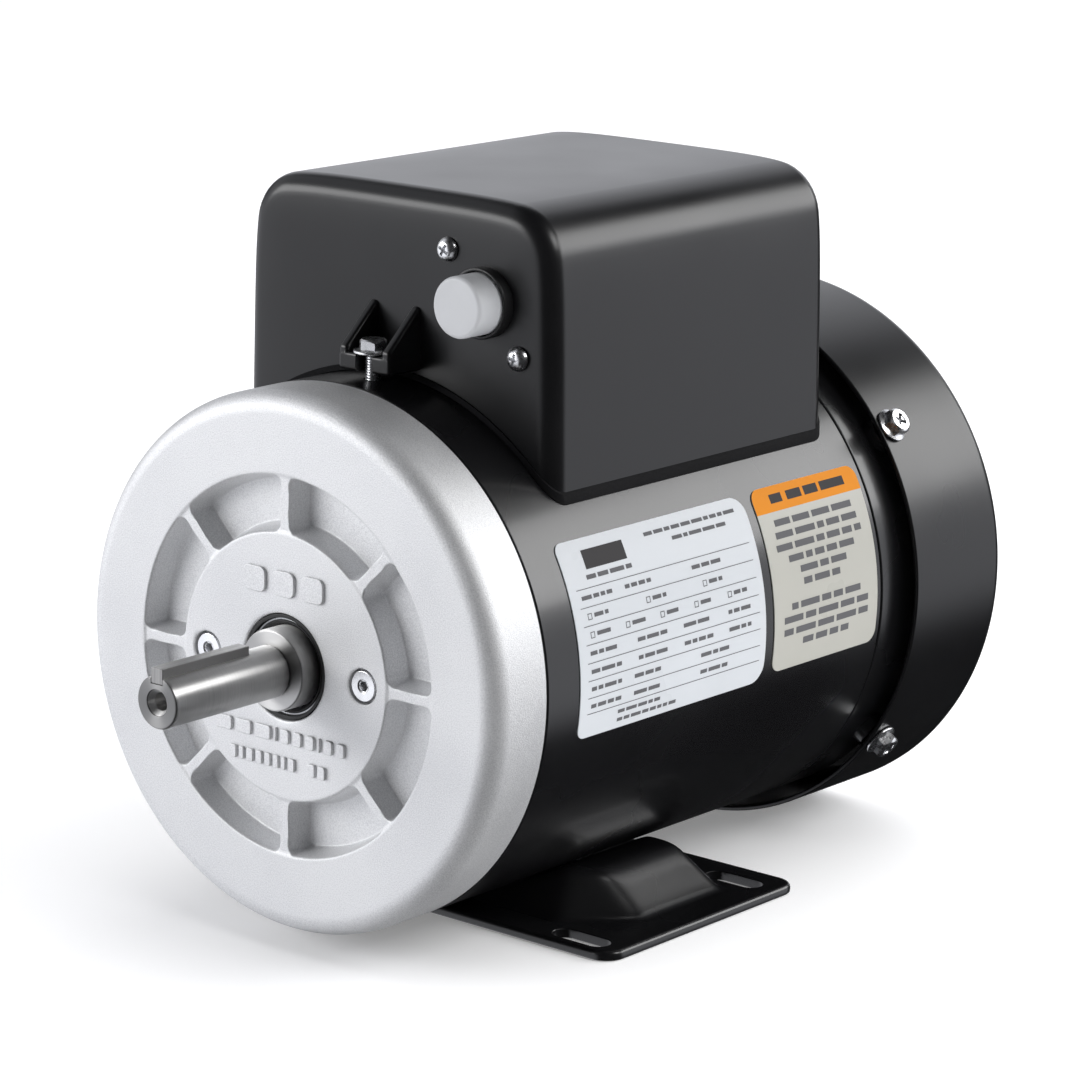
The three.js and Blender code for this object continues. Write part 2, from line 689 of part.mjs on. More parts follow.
const footPlate = raised(footShape, -SHAFT_HEIGHT, -SHAFT_HEIGHT + FOOT_SHEET);
const shellRoom = bar([0, 90, 0], [0, 230, 0], SHELL_RADIUS + 0.3, ROUND);
const saddleRoom = bar([0, 90, 0], [0, 230, 0], SHELL_RADIUS + 0.3 + FOOT_SHEET, ROUND);
const saddleHollow = saddle(FOOT_SHEET, -SHAFT_HEIGHT - 1).subtract(saddleRoom);
const footSlots = [];
for (const side of [-1, 1]) {
  for (const y of [FOOT_SLOT.front, FOOT_SLOT.rear]) {
    const reach = (FOOT_SLOT.length - FOOT_SLOT.width) / 2;
    const slot = new THREE.Shape();
    slot.absarc(side * FOOT_SLOT.x + reach, y, FOOT_SLOT.width / 2, -Math.PI / 2, Math.PI / 2, false);
    slot.absarc(side * FOOT_SLOT.x - reach, y, FOOT_SLOT.width / 2, Math.PI / 2, 1.5 * Math.PI, false);
    footSlots.push(raised(slot, -SHAFT_HEIGHT - 1, -SHAFT_HEIGHT + 8));
  }
}
const footSolid = footPlate.add(saddle(0, -SHAFT_HEIGHT + 0.5));
add("foot_base", "black_paint", cut(footSolid, [shellRoom, saddleHollow, ...footSlots]));

// ---------------------------------------------------------------- capacitor box

// The box's cross-section, drafted, with rounded top corners, drawn in by an inset.
function boxSection(inset, bottom) {
  const radius = Math.max(BOX_TOP_RADIUS - inset, 4);
  const half = BOX_HALF_TOP - inset;
  const foot = BOX_HALF_BOTTOM - inset;
  const top = BOX_TOP - inset;
  return outline([
    [BOX_CENTRE_X - foot, bottom],
    [BOX_CENTRE_X + foot, bottom],
    ...arc(BOX_CENTRE_X + half - radius, top - radius, radius, 0, 90, 4),
    ...arc(BOX_CENTRE_X - half + radius, top - radius, radius, 90, 180, 4),
  ]);
}

const underBox = (radius) => bar([0, 80, 0], [0, 252, 0], radius, ROUND);
const boxOuter = pushed(boxSection(0, 40), BOX_FRONT, BOX_REAR, BOX_EDGE_RADIUS, 2);
const innerRadius = BOX_EDGE_RADIUS - BOX_WALL;
const boxInner = pushed(boxSection(BOX_WALL, 20), BOX_FRONT + BOX_WALL, BOX_REAR - BOX_WALL, innerRadius, 1);

// One fixing lug with its two gussets, standing out from a wall at wallY toward -Y or +Y.
function lug(wallY, toward) {
  const free = wallY + toward * LUG_REACH;
  const [y0, y1] = [Math.min(free, wallY - toward), Math.max(free, wallY - toward)];
  const plate = block(LUG_X - LUG_HALF_WIDTH, LUG_X + LUG_HALF_WIDTH, y0, y1, LUG_BOTTOM, LUG_TOP);
  const gussets = [-1, 1].map((side) => {
    const x0 = LUG_X + side * (LUG_HALF_WIDTH - 1.5) - 1.5;
    const points = [];
    for (const x of [x0, x0 + 3]) {
      points.push(new THREE.Vector3(x, wallY - toward, LUG_BOTTOM + 1));
      points.push(new THREE.Vector3(x, wallY - toward, LUG_APEX));
      points.push(new THREE.Vector3(x, free, LUG_BOTTOM + 1));
      points.push(new THREE.Vector3(x, free, LUG_TOP + 1));
    }
    return solid(new ConvexGeometry(points));
  });
  const boltY = wallY + toward * LUG_BOLT_REACH;
  const [s0, s1] = [Math.min(free + 2 * toward, boltY), Math.max(free + 2 * toward, boltY)];
  const slot = block(LUG_X - 3.3, LUG_X + 3.3, s0, s1, LUG_BOTTOM - 1, LUG_TOP + 1);
  const seat = bar([LUG_X, boltY, LUG_BOTTOM - 1], [LUG_X, boltY, LUG_TOP + 1], 3.3);
  return joined([plate, ...gussets]).subtract(slot).subtract(seat);
}

const boxTools = [
  bar([BUTTON.x, BOX_FRONT - 2, BUTTON.z], [BUTTON.x, BOX_FRONT + 4, BUTTON.z], BUTTON.radius + 0.5, 20),
];
for (const [x, z] of PROTECTOR_SCREWS) {
  boxTools.push(bar([x, BOX_FRONT - 2, z], [x, BOX_FRONT + 4, z], 2.3, 12));
}
boxTools.push(bar([-50, GLAND.y, GLAND.z], [-66, GLAND.y, GLAND.z], 8.4, 20));
const boxShell = cut(boxOuter, [boxInner, underBox(GASKET_OUTER + 0.3)]);
const boxBody = joined([boxShell, lug(BOX_FRONT, -1), lug(BOX_REAR, 1)]);
const gasketRoom = bar([0, BOX_FRONT - 1.2, 0], [0, BOX_REAR + 1.2, 0], GASKET_OUTER + 0.3, ROUND);
add("capacitor_box", "black_steel", cut(boxBody, [...boxTools, gasketRoom]));

const gasketOuter = pushed(boxSection(-0.8, 40), BOX_FRONT - 0.8, BOX_REAR + 0.8, BOX_EDGE_RADIUS, 1);
const gasketInner = pushed(boxSection(3.2, 20), BOX_FRONT + 3.2, BOX_REAR - 3.2, 4.8, 1);
const gasketBand = gasketOuter.subtract(gasketInner).intersect(underBox(GASKET_OUTER));
const gasketRing = cut(gasketBand, [underBox(GASKET_INNER)]);
add("box_gasket", "foam", gasketRing.subtract(block(-80, 80, 80, 252, -90, 40.5)));

// A hexagon flange bolt: underside of the flange on local Y = 0, shank along -Y.
const boxBolt = joined([
  turned([[0, 0], [5.6, 0], [5.6, 1.2], [0, 1.2]], SMALL),
  turned([[0, 1], [4.4, 1], [4.4, 5], [0, 5]], 6),
  bar([0, 0.5, 0], [0, -14.5, 0], 2.5, 8),
]);
for (const [name, y] of [["front", frontBoltY], ["rear", rearBoltY]]) {
  add(`box_bolt_${name}`, "zinc", boxBolt, { at: [LUG_X, y, LUG_TOP + 0.2], turn: [Math.PI / 2, 0, 0] });
}

// ---------------------------------------------------------------- overload protector

const buttonFront = BOX_FRONT - BUTTON.reach;
const innerWall = BOX_FRONT + BOX_WALL;
const buttonLoop = [
  [0, buttonFront],
  [BUTTON.radius - 1.2, buttonFront],
  [BUTTON.radius, buttonFront + 1.2],
  [BUTTON.radius, innerWall + 0.4],
  [BUTTON.radius + 2, innerWall + 0.4],
  [BUTTON.radius + 2, innerWall + 2],
  [3.5, innerWall + 2],
  [3.5, innerWall + 14],
  [0, innerWall + 14],
];
const inBox = { at: [BUTTON.x, 0, BUTTON.z] };
add("reset_button", "white_plastic", turned(buttonLoop, 20), inBox);

const springTurns = 3;
const springPath = new THREE.CatmullRomCurve3(
  Array.from({ length: springTurns * 8 + 1 }, (_, i) => {
    const angle = (2 * Math.PI * i) / 8;
    const y = innerWall + 2.9 + (i / (springTurns * 8)) * 5.6;
    return new THREE.Vector3(5.5 * Math.cos(angle), y, 5.5 * Math.sin(angle));
  }),
);
const wire = new THREE.Shape().absarc(0, 0, 0.45, 0, 2 * Math.PI, false);
const springSettings = { steps: springTurns * 8, curveSegments: 2, extrudePath: springPath };
const springWire = new THREE.ExtrudeGeometry(wire, springSettings);
add("reset_spring", "spring_steel", solid(springWire), inBox);

const protectorFront = innerWall + 9.4;
const protectorPosts = PROTECTOR_SCREWS.map(([x, z]) => {
  return bar([x, innerWall + 0.3, z], [x, protectorFront + 1, z], 3.7, 12);
});
const protectorBody = joined([
  block(18.5, 56.5, protectorFront, protectorFront + 20, 89, 127),
  ...protectorPosts,
]);
add(
  "overload_protector",
  "black_plastic",
  cut(protectorBody, [
    bar([BUTTON.x, protectorFront - 1, BUTTON.z], [BUTTON.x, protectorFront + 12, BUTTON.z], 4.2, 12),
    ...PROTECTOR_SCREWS.map(([x, z]) => bar([x, innerWall - 1, z], [x, innerWall + 12, z], 2.2, 10)),
  ]),
);

// A cross-recessed pan-head screw: underside of the head on local Y = 0, shank along +Y.
const panScrew = cut(
  turned([[0, -2.6], [3, -2], [4, 0], [1.8, 0], [1.8, 11.5], [0, 11.5]], SMALL),
  [block(-2.1, 2.1, -4, -1.3, -0.45, 0.45), block(-0.45, 0.45, -4, -1.3, -2.1, 2.1)],
);
["upper", "lower"].forEach((name, i) => {
  const [x, z] = PROTECTOR_SCREWS[i];
  add(`overload_screw_${name}`, "zinc", panScrew, { at: [x, BOX_FRONT - 0.2, z] });
});

// ---------------------------------------------------------------- inside the box

function capacitor(name, finish, { x, z, radius }, front, rear) {
  const can = turned(
    [[0, front], [radius, front], [radius, rear], [0, rear]],
    18,
  );
  const tabs = [-1, 1].map((side) => block(side * 7 - 3, side * 7 + 3, front - 9, front + 1, -0.4, 0.4));
  add(name, finish, joined([can, ...tabs]), { at: [x, 0, z] });
}

capacitor("start_capacitor", "capacitor_case", START_CAPACITOR, 150, 226);
capacitor("run_capacitor", "capacitor_can", RUN_CAPACITOR, 150, 226);

const capacitors = [START_CAPACITOR, RUN_CAPACITOR];
const capacitorRoom = capacitors.map(({ x, z, radius }) => bar([x, 140, z], [x, 232, z], radius + 0.4, 20));
const cradleRoom = [...capacitorRoom, underBox(SHELL_RADIUS + 0.3)];
add("capacitor_cradle", "grey_plastic", cut(block(-48, 32, 176, 200, 70, 101), cradleRoom));

const strapOutline = outline([
  [-52.9, 66],
  ...arc(-42.3, 120, 10.6, 180, 90, 2),
  ...arc(24.3, 120, 10.6, 90, 0, 2),
  [34.9, 77],
  [36.2, 77],
  ...arc(24.3, 120, 11.9, 0, 90, 2),
  ...arc(-42.3, 120, 11.9, 90, 180, 2),
  [-54.2, 66],
]);
add("capacitor_strap", "spring_steel", pushed(strapOutline, 182, 194));

const STUD_X = [-28, -4];
const boardSlots = STUD_X.map((x) => bar([x, 126, 112], [x, 134, 112], 2.8, 10));
const boardBody = joined([block(-44, 12, 129, 131.5, 84.5, 124), block(-16, 8, 129, 141, 83.4, 86)]);
add("terminal_board", "phenolic", cut(boardBody, [...boardSlots, underBox(SHELL_RADIUS + 0.4)]));
// A terminal stud with its hexagon collar in front of the board.
const stud = joined([
  bar([0, 121, 0], [0, 133.5, 0], 2.4, 10),
  turned([[0, 125.5], [4.4, 125.5], [4.4, 128.7], [0, 128.7]], 6),
]);
STUD_X.forEach((x, i) => {
  add(`terminal_stud_${i + 1}`, "brass", stud, { at: [x, 0, 112] });
});

const glandBody = cut(
  joined([
    bar([-54.5, GLAND.y, GLAND.z], [-75, GLAND.y, GLAND.z], 7.8, 20),
    bar([-59.6, GLAND.y, GLAND.z], [-64.5, GLAND.y, GLAND.z], 12.5, 6),
  ]),
  [bar([-50, GLAND.y, GLAND.z], [-80, GLAND.y, GLAND.z], 5, 16)],
);
add("cable_gland_body", "black_plastic", glandBody);
const glandNut = cut(
  joined([
    bar([-65, GLAND.y, GLAND.z], [-74, GLAND.y, GLAND.z], 11.5, 6),
    bar([-73, GLAND.y, GLAND.z], [-80, GLAND.y, GLAND.z], 9.9, 20, 7.5),
  ]),
  [
    bar([-60, GLAND.y, GLAND.z], [-75.4, GLAND.y, GLAND.z], 8.2, 20),
    bar([-70, GLAND.y, GLAND.z], [-85, GLAND.y, GLAND.z], 4.6, 16),
  ],
);
add("cable_gland_nut", "black_plastic", glandNut);

// ---------------------------------------------------------------- labels

add("rating_label", "label_silver", pushed(sector(LABEL_INNER, LABEL_OUTER, -10, 30.8, 10), 90.5, 180));
add("notice_label", "label_cream", pushed(sector(LABEL_INNER, LABEL_OUTER, -9, 31, 10), 184.5, 238.7));

export default motor;
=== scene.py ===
"""Detailed visual model of a foot-mounted, fan-cooled electric motor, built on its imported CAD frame."""

import math
import random

import bmesh
import bpy
from mathutils import Matrix, Vector


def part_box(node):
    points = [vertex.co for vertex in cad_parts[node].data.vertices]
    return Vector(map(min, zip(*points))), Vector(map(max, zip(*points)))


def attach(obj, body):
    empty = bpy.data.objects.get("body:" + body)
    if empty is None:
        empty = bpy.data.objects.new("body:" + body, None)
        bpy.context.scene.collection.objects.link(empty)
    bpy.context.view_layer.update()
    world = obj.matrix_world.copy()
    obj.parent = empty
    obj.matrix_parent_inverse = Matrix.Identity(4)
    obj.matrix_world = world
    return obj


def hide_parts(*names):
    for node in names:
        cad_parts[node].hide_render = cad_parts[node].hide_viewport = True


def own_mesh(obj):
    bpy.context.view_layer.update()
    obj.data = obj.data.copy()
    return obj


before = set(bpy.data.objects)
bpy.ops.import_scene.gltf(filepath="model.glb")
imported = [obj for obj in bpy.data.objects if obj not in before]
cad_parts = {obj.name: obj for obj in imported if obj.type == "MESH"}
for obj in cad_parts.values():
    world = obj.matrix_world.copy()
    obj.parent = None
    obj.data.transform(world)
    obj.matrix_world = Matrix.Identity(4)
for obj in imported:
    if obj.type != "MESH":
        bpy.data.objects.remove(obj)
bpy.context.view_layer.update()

# ---------------- dimensions, in millimetres
# The motor frame used below: X to the right seen from the shaft end, S along the shaft from its
# end face, Z up from the shaft axis.

SHAFT_LOW, SHAFT_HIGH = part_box("shaft")
SHAFT_END_Y = SHAFT_LOW[1]
AXIS_HEIGHT = (SHAFT_LOW[2] + SHAFT_HIGH[2]) / 2
TO_ROW = Matrix.Translation((0, SHAFT_END_Y, AXIS_HEIGHT)) @ Matrix.Scale(0.001, 4)

FLOOR = -88.9
SHAFT_R = 7.9375
SHOULDER_S = 47.6
SHELL_R = 82.5
FACE_S = 52.8
POCKET_IN, POCKET_OUT, POCKET_DEPTH = 40.3, 58.5, 7.8
RIB_HALF = 1.0
COWL_R = 88.3
COWL_SHEET = 1.5
COWL_FRONT, COWL_REAR = 253.0, 302.5
BOX_X = 2.5
BOX_TOP = 138.1
BOX_FRONT, BOX_REAR = 97.4, 234.4
LUG_X = 3.4
LUG_REACH = 9.6
BUTTON_PLACE = Matrix.Translation((38.5, 0, 108.7))
OVERLOAD_SCREWS = {"upper": (24, 122.6), "lower": (51.4, 93.6)}
GLAND_S, GLAND_Z = 138, 100
CAP_SCREW_X = 31.3
COWL_SCREWS = {"upper_right": 36, "lower_right": -36, "lower_left": 216, "upper_left": 144}
COWL_SCREW_S = 259

FACE_BAND_M = 0.0003

root = bpy.context.scene.collection


# ---------------- mesh helpers

def object_from(bm, name="work"):
    mesh = bpy.data.meshes.new(name)
    bmesh.ops.recalc_face_normals(bm, faces=bm.faces)
    bm.to_mesh(mesh)
    bm.free()
    obj = bpy.data.objects.new(name, mesh)
    root.objects.link(obj)
    return obj


def combine(base, tool, operation="DIFFERENCE"):
    """Apply a boolean of tool to base, and drop the tool."""
    modifier = base.modifiers.new("boolean", "BOOLEAN")
    modifier.solver = "MANIFOLD"
    modifier.operation = operation
    modifier.object = tool
    bpy.context.view_layer.update()
    depsgraph = bpy.context.evaluated_depsgraph_get()
    mesh = bpy.data.meshes.new_from_object(base.evaluated_get(depsgraph))
    base.modifiers.clear()
    old = base.data
    base.data = mesh
    bpy.data.meshes.remove(old)
    drop(tool)
    return base


def drop(obj):
    mesh = obj.data
    bpy.data.objects.remove(obj)
    bpy.data.meshes.remove(mesh)


def merged(objects):
    """Several objects as one mesh, left overlapping only where they did."""
    bm = bmesh.new()
    for obj in objects:
        bm.from_mesh(obj.data)
        drop(obj)
    return object_from(bm)


def moved(obj, matrix):
    obj.data.transform(matrix)
    return obj


def copy_at(obj, matrix):
    twin = bpy.data.objects.new(obj.name, obj.data.copy())
    root.objects.link(twin)
    return moved(twin, matrix)


def publish(obj, name, material, replaces=(), body="motor_frame", angle=32, weighted=True):
    """Move a finished mesh from millimetres into the row frame, dress it and tie it to its body."""
    obj.name = name
    mesh = obj.data
    mesh.name = name
    mesh.transform(TO_ROW)
    mesh.materials.clear()
    mesh.materials.append(material)
    mesh.polygons.foreach_set("material_index", [0] * len(mesh.polygons))
    mesh.shade_smooth()
    mesh.set_sharp_from_angle(angle=math.radians(angle))
    if weighted:
        modifier = obj.modifiers.new("weighted", "WEIGHTED_NORMAL")
        modifier.keep_sharp = True
        modifier.weight = 90
    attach(obj, body)
    if replaces:
        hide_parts(*replaces)


def rounded(points, steps=5):
    """A closed outline whose corners (x, y, radius) are drawn as arcs."""
    out = []
    count = len(points)
    for i, corner in enumerate(points):
        x, y = corner[:2]
        radius = corner[2] if len(corner) > 2 else 0
        if radius <= 0:
            out.append((x, y))
            continue
        here = Vector((x, y))
        back = (Vector(points[i - 1][:2]) - here).normalized()
        ahead = (Vector(points[(i + 1) % count][:2]) - here).normalized()
        half = back.angle(ahead) / 2
        if half > math.radians(89.8):
            out.append((x, y))
            continue
        reach = radius / math.tan(half)
        centre = here + (back + ahead).normalized() * (radius / math.sin(half))
        start = here + back * reach - centre
        end = here + ahead * reach - centre
        sweep = start.angle_signed(end)
        for k in range(steps + 1):
            turn = Matrix.Rotation(-sweep * k / steps, 2)
            out.append(tuple(centre + turn @ start))
    return out


def lathe(loop, segments=144):
    """A closed (radius, s) outline turned about the shaft axis."""
    bm = bmesh.new()
    rings = []
    for radius, s in loop:
        if radius < 1e-6:
            vert = bm.verts.new((0, s, 0))
            rings.append([vert] * segments)
            continue
        ring = []
        for k in range(segments):
            a = 2 * math.pi * k / segments
            ring.append(bm.verts.new((radius * math.sin(a), s, radius * math.cos(a))))
        rings.append(ring)
    for i, ring in enumerate(rings):
        after = rings[(i + 1) % len(rings)]
        for k in range(segments):
            n = (k + 1) % segments
            corners = list(dict.fromkeys((ring[k], ring[n], after[n], after[k])))
            if len(corners) > 2:
                bm.faces.new(corners)
    return object_from(bm)


def rod(radius, low, high, segments):
    """A cylinder along the local Y axis."""
    return lathe([(0, low), (radius, low), (radius, high), (0, high)], segments)


def band(bm, a, b):
    """Quads all the way round between two rings of vertices."""
    for k in range(len(a)):
        n = (k + 1) % len(a)
        bm.faces.new((a[k], a[n], b[n], b[k]))


def sheet(bm, grid):
    """Quads over an open grid of vertices."""
    for a, b in zip(grid, grid[1:]):
        for k in range(len(a) - 1):
            bm.faces.new((a[k], a[k + 1], b[k + 1], b[k]))


def loft(loops):
    """Quads between loops of equal length, with flat ends."""
    bm = bmesh.new()
    rings = [[bm.verts.new(p) for p in loop] for loop in loops]
    for a, b in zip(rings, rings[1:]):
        band(bm, a, b)
    bm.faces.new(rings[0])
    bm.faces.new(list(reversed(rings[-1])))
    return object_from(bm)


def prism(outline, low, high, axis="y", soft=0.0, steps=3):
    """An outline pushed along an axis, its two end edges softened by a small radius."""
    edge = [(0.0, 0.0)]
    if soft > 0:
        arc = [math.pi / 2 * k / steps for k in range(steps + 1)]
        edge = [(soft * (1 - math.sin(a)), soft * (1 - math.cos(a))) for a in arc]
    stations = [(low + depth, inset) for depth, inset in reversed(edge)]
    stations += [(high - depth, inset) for depth, inset in edge]
    at = "xyz".index(axis)
    loops = []
    for place, inset in stations:
        ring = offset(outline, -inset) if inset else outline
        loops.append([(*point[:at], place, *point[at:]) for point in ring])
    return loft(loops)


def offset(outline, distance):
    """A closed outline grown (or shrunk) along its vertex normals."""
    points = [Vector(p) for p in outline]
    area = sum(a.x * b.y - b.x * a.y for a, b in zip(points, points[1:] + points[:1]))
    sign = 1 if area > 0 else -1
    out = []
    for i, here in enumerate(points):
        before = here - points[i - 1]
        after = points[(i + 1) % len(points)] - here
        if before.length < 1e-9:
            before = after
        if after.length < 1e-9:
            after = before
        n1 = Vector((before.y, -before.x)).normalized()
        n2 = Vector((after.y, -after.x)).normalized()
        middle = (n1 + n2).normalized()
        scale = 1 / max(0.35, middle.dot(n1))
        out.append(tuple(here + middle * (sign * distance * scale)))
    return out


def rect(x0, x1, y0, y1, radius=0.0, steps=5):
    return rounded([(x0, y0, radius), (x1, y0, radius), (x1, y1, radius), (x0, y1, radius)], steps)


def regular(count, across):
    """A regular polygon by its distance across flats."""
    radius = across / 2 / math.cos(math.pi / count)
    angles = [2 * math.pi * k / count for k in range(count)]
    return [(radius * math.cos(a), radius * math.sin(a)) for a in angles]


def aim(origin, direction, spin=0.0):
    """A matrix that takes local +Y to a direction and the local origin to a point."""
    turn = Vector((0, 1, 0)).rotation_difference(Vector(direction)).to_matrix().to_4x4()
    return Matrix.Translation(origin) @ turn @ Matrix.Rotation(spin, 4, "Y")


def cross_tool(reach, width, top, depth):
    """A tapered cross-shaped cutter that enters along -Y from local y = top."""
    a, b = reach, width / 2
    outline = [
        (a, -b), (a, b), (b, b), (b, a), (-b, a), (-b, b),
        (-a, b), (-a, -b), (-b, -b), (-b, -a), (b, -a), (b, -b),
    ]

    def shrink(v):
        return 0.42 if abs(v) > b else 0.8

    upper = [(x, top + 0.6, z) for x, z in outline]
    rim = [(x, top, z) for x, z in outline]
    floor = [(x * shrink(x), top - depth, z * shrink(z)) for x, z in outline]
    return loft([upper, rim, floor])


# ---------------- materials

def feed(made, inputs):
    """Set a node's inputs, each to a value or to another node's output."""
    for name, value in inputs.items():
        if isinstance(value, bpy.types.NodeSocket):
            made.id_data.links.new(value, made.inputs[name])
        else:
            made.inputs[name].default_value = value


def node(beside, kind, inputs, **settings):
    """A new node in the same tree as another node or socket."""
    made = beside.id_data.nodes.new(f"ShaderNode{kind}")
    for name, value in settings.items():
        setattr(made, name, value)
    feed(made, inputs)
    return made


def new_material(name, color, roughness, metallic=0.0):
    material = bpy.data.materials.new(name)
    material.use_nodes = True
    shader = material.node_tree.nodes["Principled BSDF"]
    feed(shader, {"Base Color": (*color, 1), "Roughness": roughness, "Metallic": metallic})
    return material, shader


def coordinates(shader, scale=(1, 1, 1)):
    place = node(shader, "TexCoord", {}).outputs["Object"]
    return node(shader, "Mapping", {"Vector": place, "Scale": scale}).outputs["Vector"]


def noise(vector, scale, detail=3.0, roughness=0.55):
    inputs = {"Vector": vector, "Scale": scale, "Detail": detail, "Roughness": roughness}
    return node(vector, "TexNoise", inputs).outputs["Fac"]


def spread(value, low, high, out_low, out_high, **settings):
    """A value's range mapped onto another range."""
    inputs = {"Value": value, "From Min": low, "From Max": high, "To Min": out_low, "To Max": out_high}
    return node(value, "MapRange", inputs, **settings).outputs["Result"]


def tint(shader, value, low, dark, high, light):
    """Colour a surface from dark, where a value is low, to light, where it is high."""
    ramp = node(shader, "ValToRGB", {"Fac": value})
    for element, place, color in zip(ramp.color_ramp.elements, (low, high), (dark, light)):
        element.position = place
        element.color = (*color, 1)
    feed(shader, {"Base Color": ramp.outputs["Color"]})


def roughen(shader, value, low, high):
    """Vary a surface's roughness between two levels as a value goes through its middle range."""
    feed(shader, {"Roughness": spread(value, 0.3, 0.7, low, high)})


def bump(shader, height, strength, distance):
    inputs = {"Height": height, "Strength": strength, "Distance": distance}
    feed(shader, {"Normal": node(shader, "Bump", inputs).outputs["Normal"]})


def cast_metal(name, light, dark, roughness=0.5, metallic=0.65, grain=0.00012):
    """Sand-blasted casting: fine pitted grain, with soft cloudy variation."""
    material, shader = new_material(name, light, roughness, metallic)
    vector = coordinates(shader)
    grains = noise(vector, 2600, 2, 0.6)
    clouds = noise(vector, 28, 3, 0.5)
    inputs = {0: grains, 1: 0.72, 2: spread(clouds, 0.3, 0.7, 0.08, 0.2)}
    mixed = node(shader, "Math", inputs, operation="MULTIPLY_ADD")
    tint(shader, mixed.outputs[0], 0.36, dark, 0.6, light)
    roughen(shader, clouds, roughness - 0.05, roughness + 0.06)
    bump(shader, grains, 0.5, grain)
    return material


def paint(name, color, roughness, peel=0.00003, coat=0.0):
    """Sprayed enamel: orange peel in the gloss and a faint uneven sheen."""
    material, shader = new_material(name, color, roughness)
    vector = coordinates(shader)
    fine = noise(vector, 420, 2, 0.5)
    broad = noise(vector, 14, 3, 0.5)
    lighter = tuple(min(1, c * 1.5 + 0.002) for c in color)
    tint(shader, broad, 0.35, color, 0.7, lighter)
    roughen(shader, broad, roughness - 0.03, roughness + 0.03)
    feed(shader, {"Specular IOR Level": 0.42, "Coat Weight": coat, "Coat Roughness": 0.12})
    bump(shader, fine, 0.35, peel)
    return material


def turned_metal(name, light, dark, roughness, lines=4200, axis=1, stretch=0.0):
    """Turned or ground metal: fine lines round the shaft axis, with faint handling marks."""
    material, shader = new_material(name, light, roughness, 1.0)
    scale = [20, 20, 20]
    scale[axis] = lines
    rings = noise(coordinates(shader, scale), 1.0, 2, 0.6)
    marks = noise(coordinates(shader), 90, 4, 0.6)
    tint(shader, rings, 0.3, dark, 0.7, light)
    roughen(shader, marks, roughness - 0.02, roughness + 0.03)
    bump(shader, rings, 0.4, 0.000008)
    if stretch:
        tangent = node(shader, "Tangent", {}, direction_type="RADIAL", axis="Y").outputs["Tangent"]
        feed(shader, {"Tangent": tangent, "Anisotropic": stretch, "Anisotropic Rotation": 0.25})
    return material


def shade_flat_faces(material, places):
    """Painted shade: darken the colour of the flat faces across the shaft below that of its ground sides: {y:
    share of tone}.
    """
    shader = material.node_tree.nodes["Principled BSDF"]
    y_place = node(shader, "SeparateXYZ", {"Vector": coordinates(shader)}).outputs["Y"]
    for y, share in places.items():
        on_face = node(shader, "Math", {0: y_place, 1: y, 2: FACE_BAND_M}, operation="COMPARE").outputs[0]
        tone = shader.inputs["Base Color"].links[0].from_socket
        inputs = {0: tone, "Scale": spread(on_face, 0, 1, 1, share)}
        shaded_tone = node(shader, "VectorMath", inputs, operation="SCALE")
        feed(shader, {"Base Color": shaded_tone.outputs["Vector"]})


def plated(name, light, dark, roughness=0.2, grain=700):
    """Bright zinc plate: crisp reflections with small tumbling dings."""
    material, shader = new_material(name, light, roughness, 1.0)
    vector = coordinates(shader)
    dings = noise(vector, grain, 3, 0.6)
    tone = noise(vector, 160, 2, 0.5)
    tint(shader, tone, 0.3, dark, 0.65, light)
    roughen(shader, dings, roughness - 0.06, roughness + 0.08)
    bump(shader, dings, 0.3, 0.00004)
    return material


def moulded(name, color, roughness=0.5, grain=900, depth=0.00003, variation=0.12, gloss=0.5):
    """Moulded plastic or rubber with a fine matt texture."""
    material, shader = new_material(name, color, roughness)
    vector = coordinates(shader)
    texture = noise(vector, grain, 3, 0.55)
    tone = noise(vector, 60, 3, 0.5)
    low = tuple(c * (1 - variation) for c in color)
    high = tuple(min(1, c * (1 + variation)) for c in color)
    tint(shader, tone, 0.3, low, 0.7, high)
    roughen(shader, texture, roughness - 0.05, roughness + 0.08)
    feed(shader, {"Specular IOR Level": gloss})
    bump(shader, texture, 0.4, depth)
    return material


def laminated(name, light, dark):
    """A stack of thin steel sheets seen on edge."""
    material, shader = new_material(name, light, 0.45, 0.9)
    inputs = {"Vector": coordinates(shader), "Scale": 320, "Distortion": 0.4}
    wave = node(shader, "TexWave", inputs, wave_type="BANDS", bands_direction="Y")
    tint(shader, wave.outputs["Fac"], 0.2, dark, 0.8, light)
    bump(shader, wave.outputs["Fac"], 0.5, 0.00006)
    return material


def wound(name, light, dark):
    """Enamelled wire laid in bundles."""
    material, shader = new_material(name, light, 0.3, 0.8)
    strands = noise(coordinates(shader, (900, 120, 900)), 1.0, 4, 0.7)
    tint(shader, strands, 0.3, dark, 0.7, light)
    bump(shader, strands, 0.7, 0.0004)
    return material


def film(name, color, roughness=0.3, gloss=0.14):
    """Printed polyester film, faintly uneven where it was rubbed down."""
    material, shader = new_material(name, color, roughness)
    vector = coordinates(shader)
    ripple = noise(vector, 120, 3, 0.5)
    tone = noise(vector, 30, 3, 0.5)
    low = tuple(c * 0.965 for c in color)
    tint(shader, tone, 0.35, low, 0.65, color)
    roughen(shader, tone, roughness - 0.04, roughness + 0.06)
    feed(shader, {"Specular IOR Level": gloss})
    bump(shader, ripple, 0.25, 0.00003)
    return material


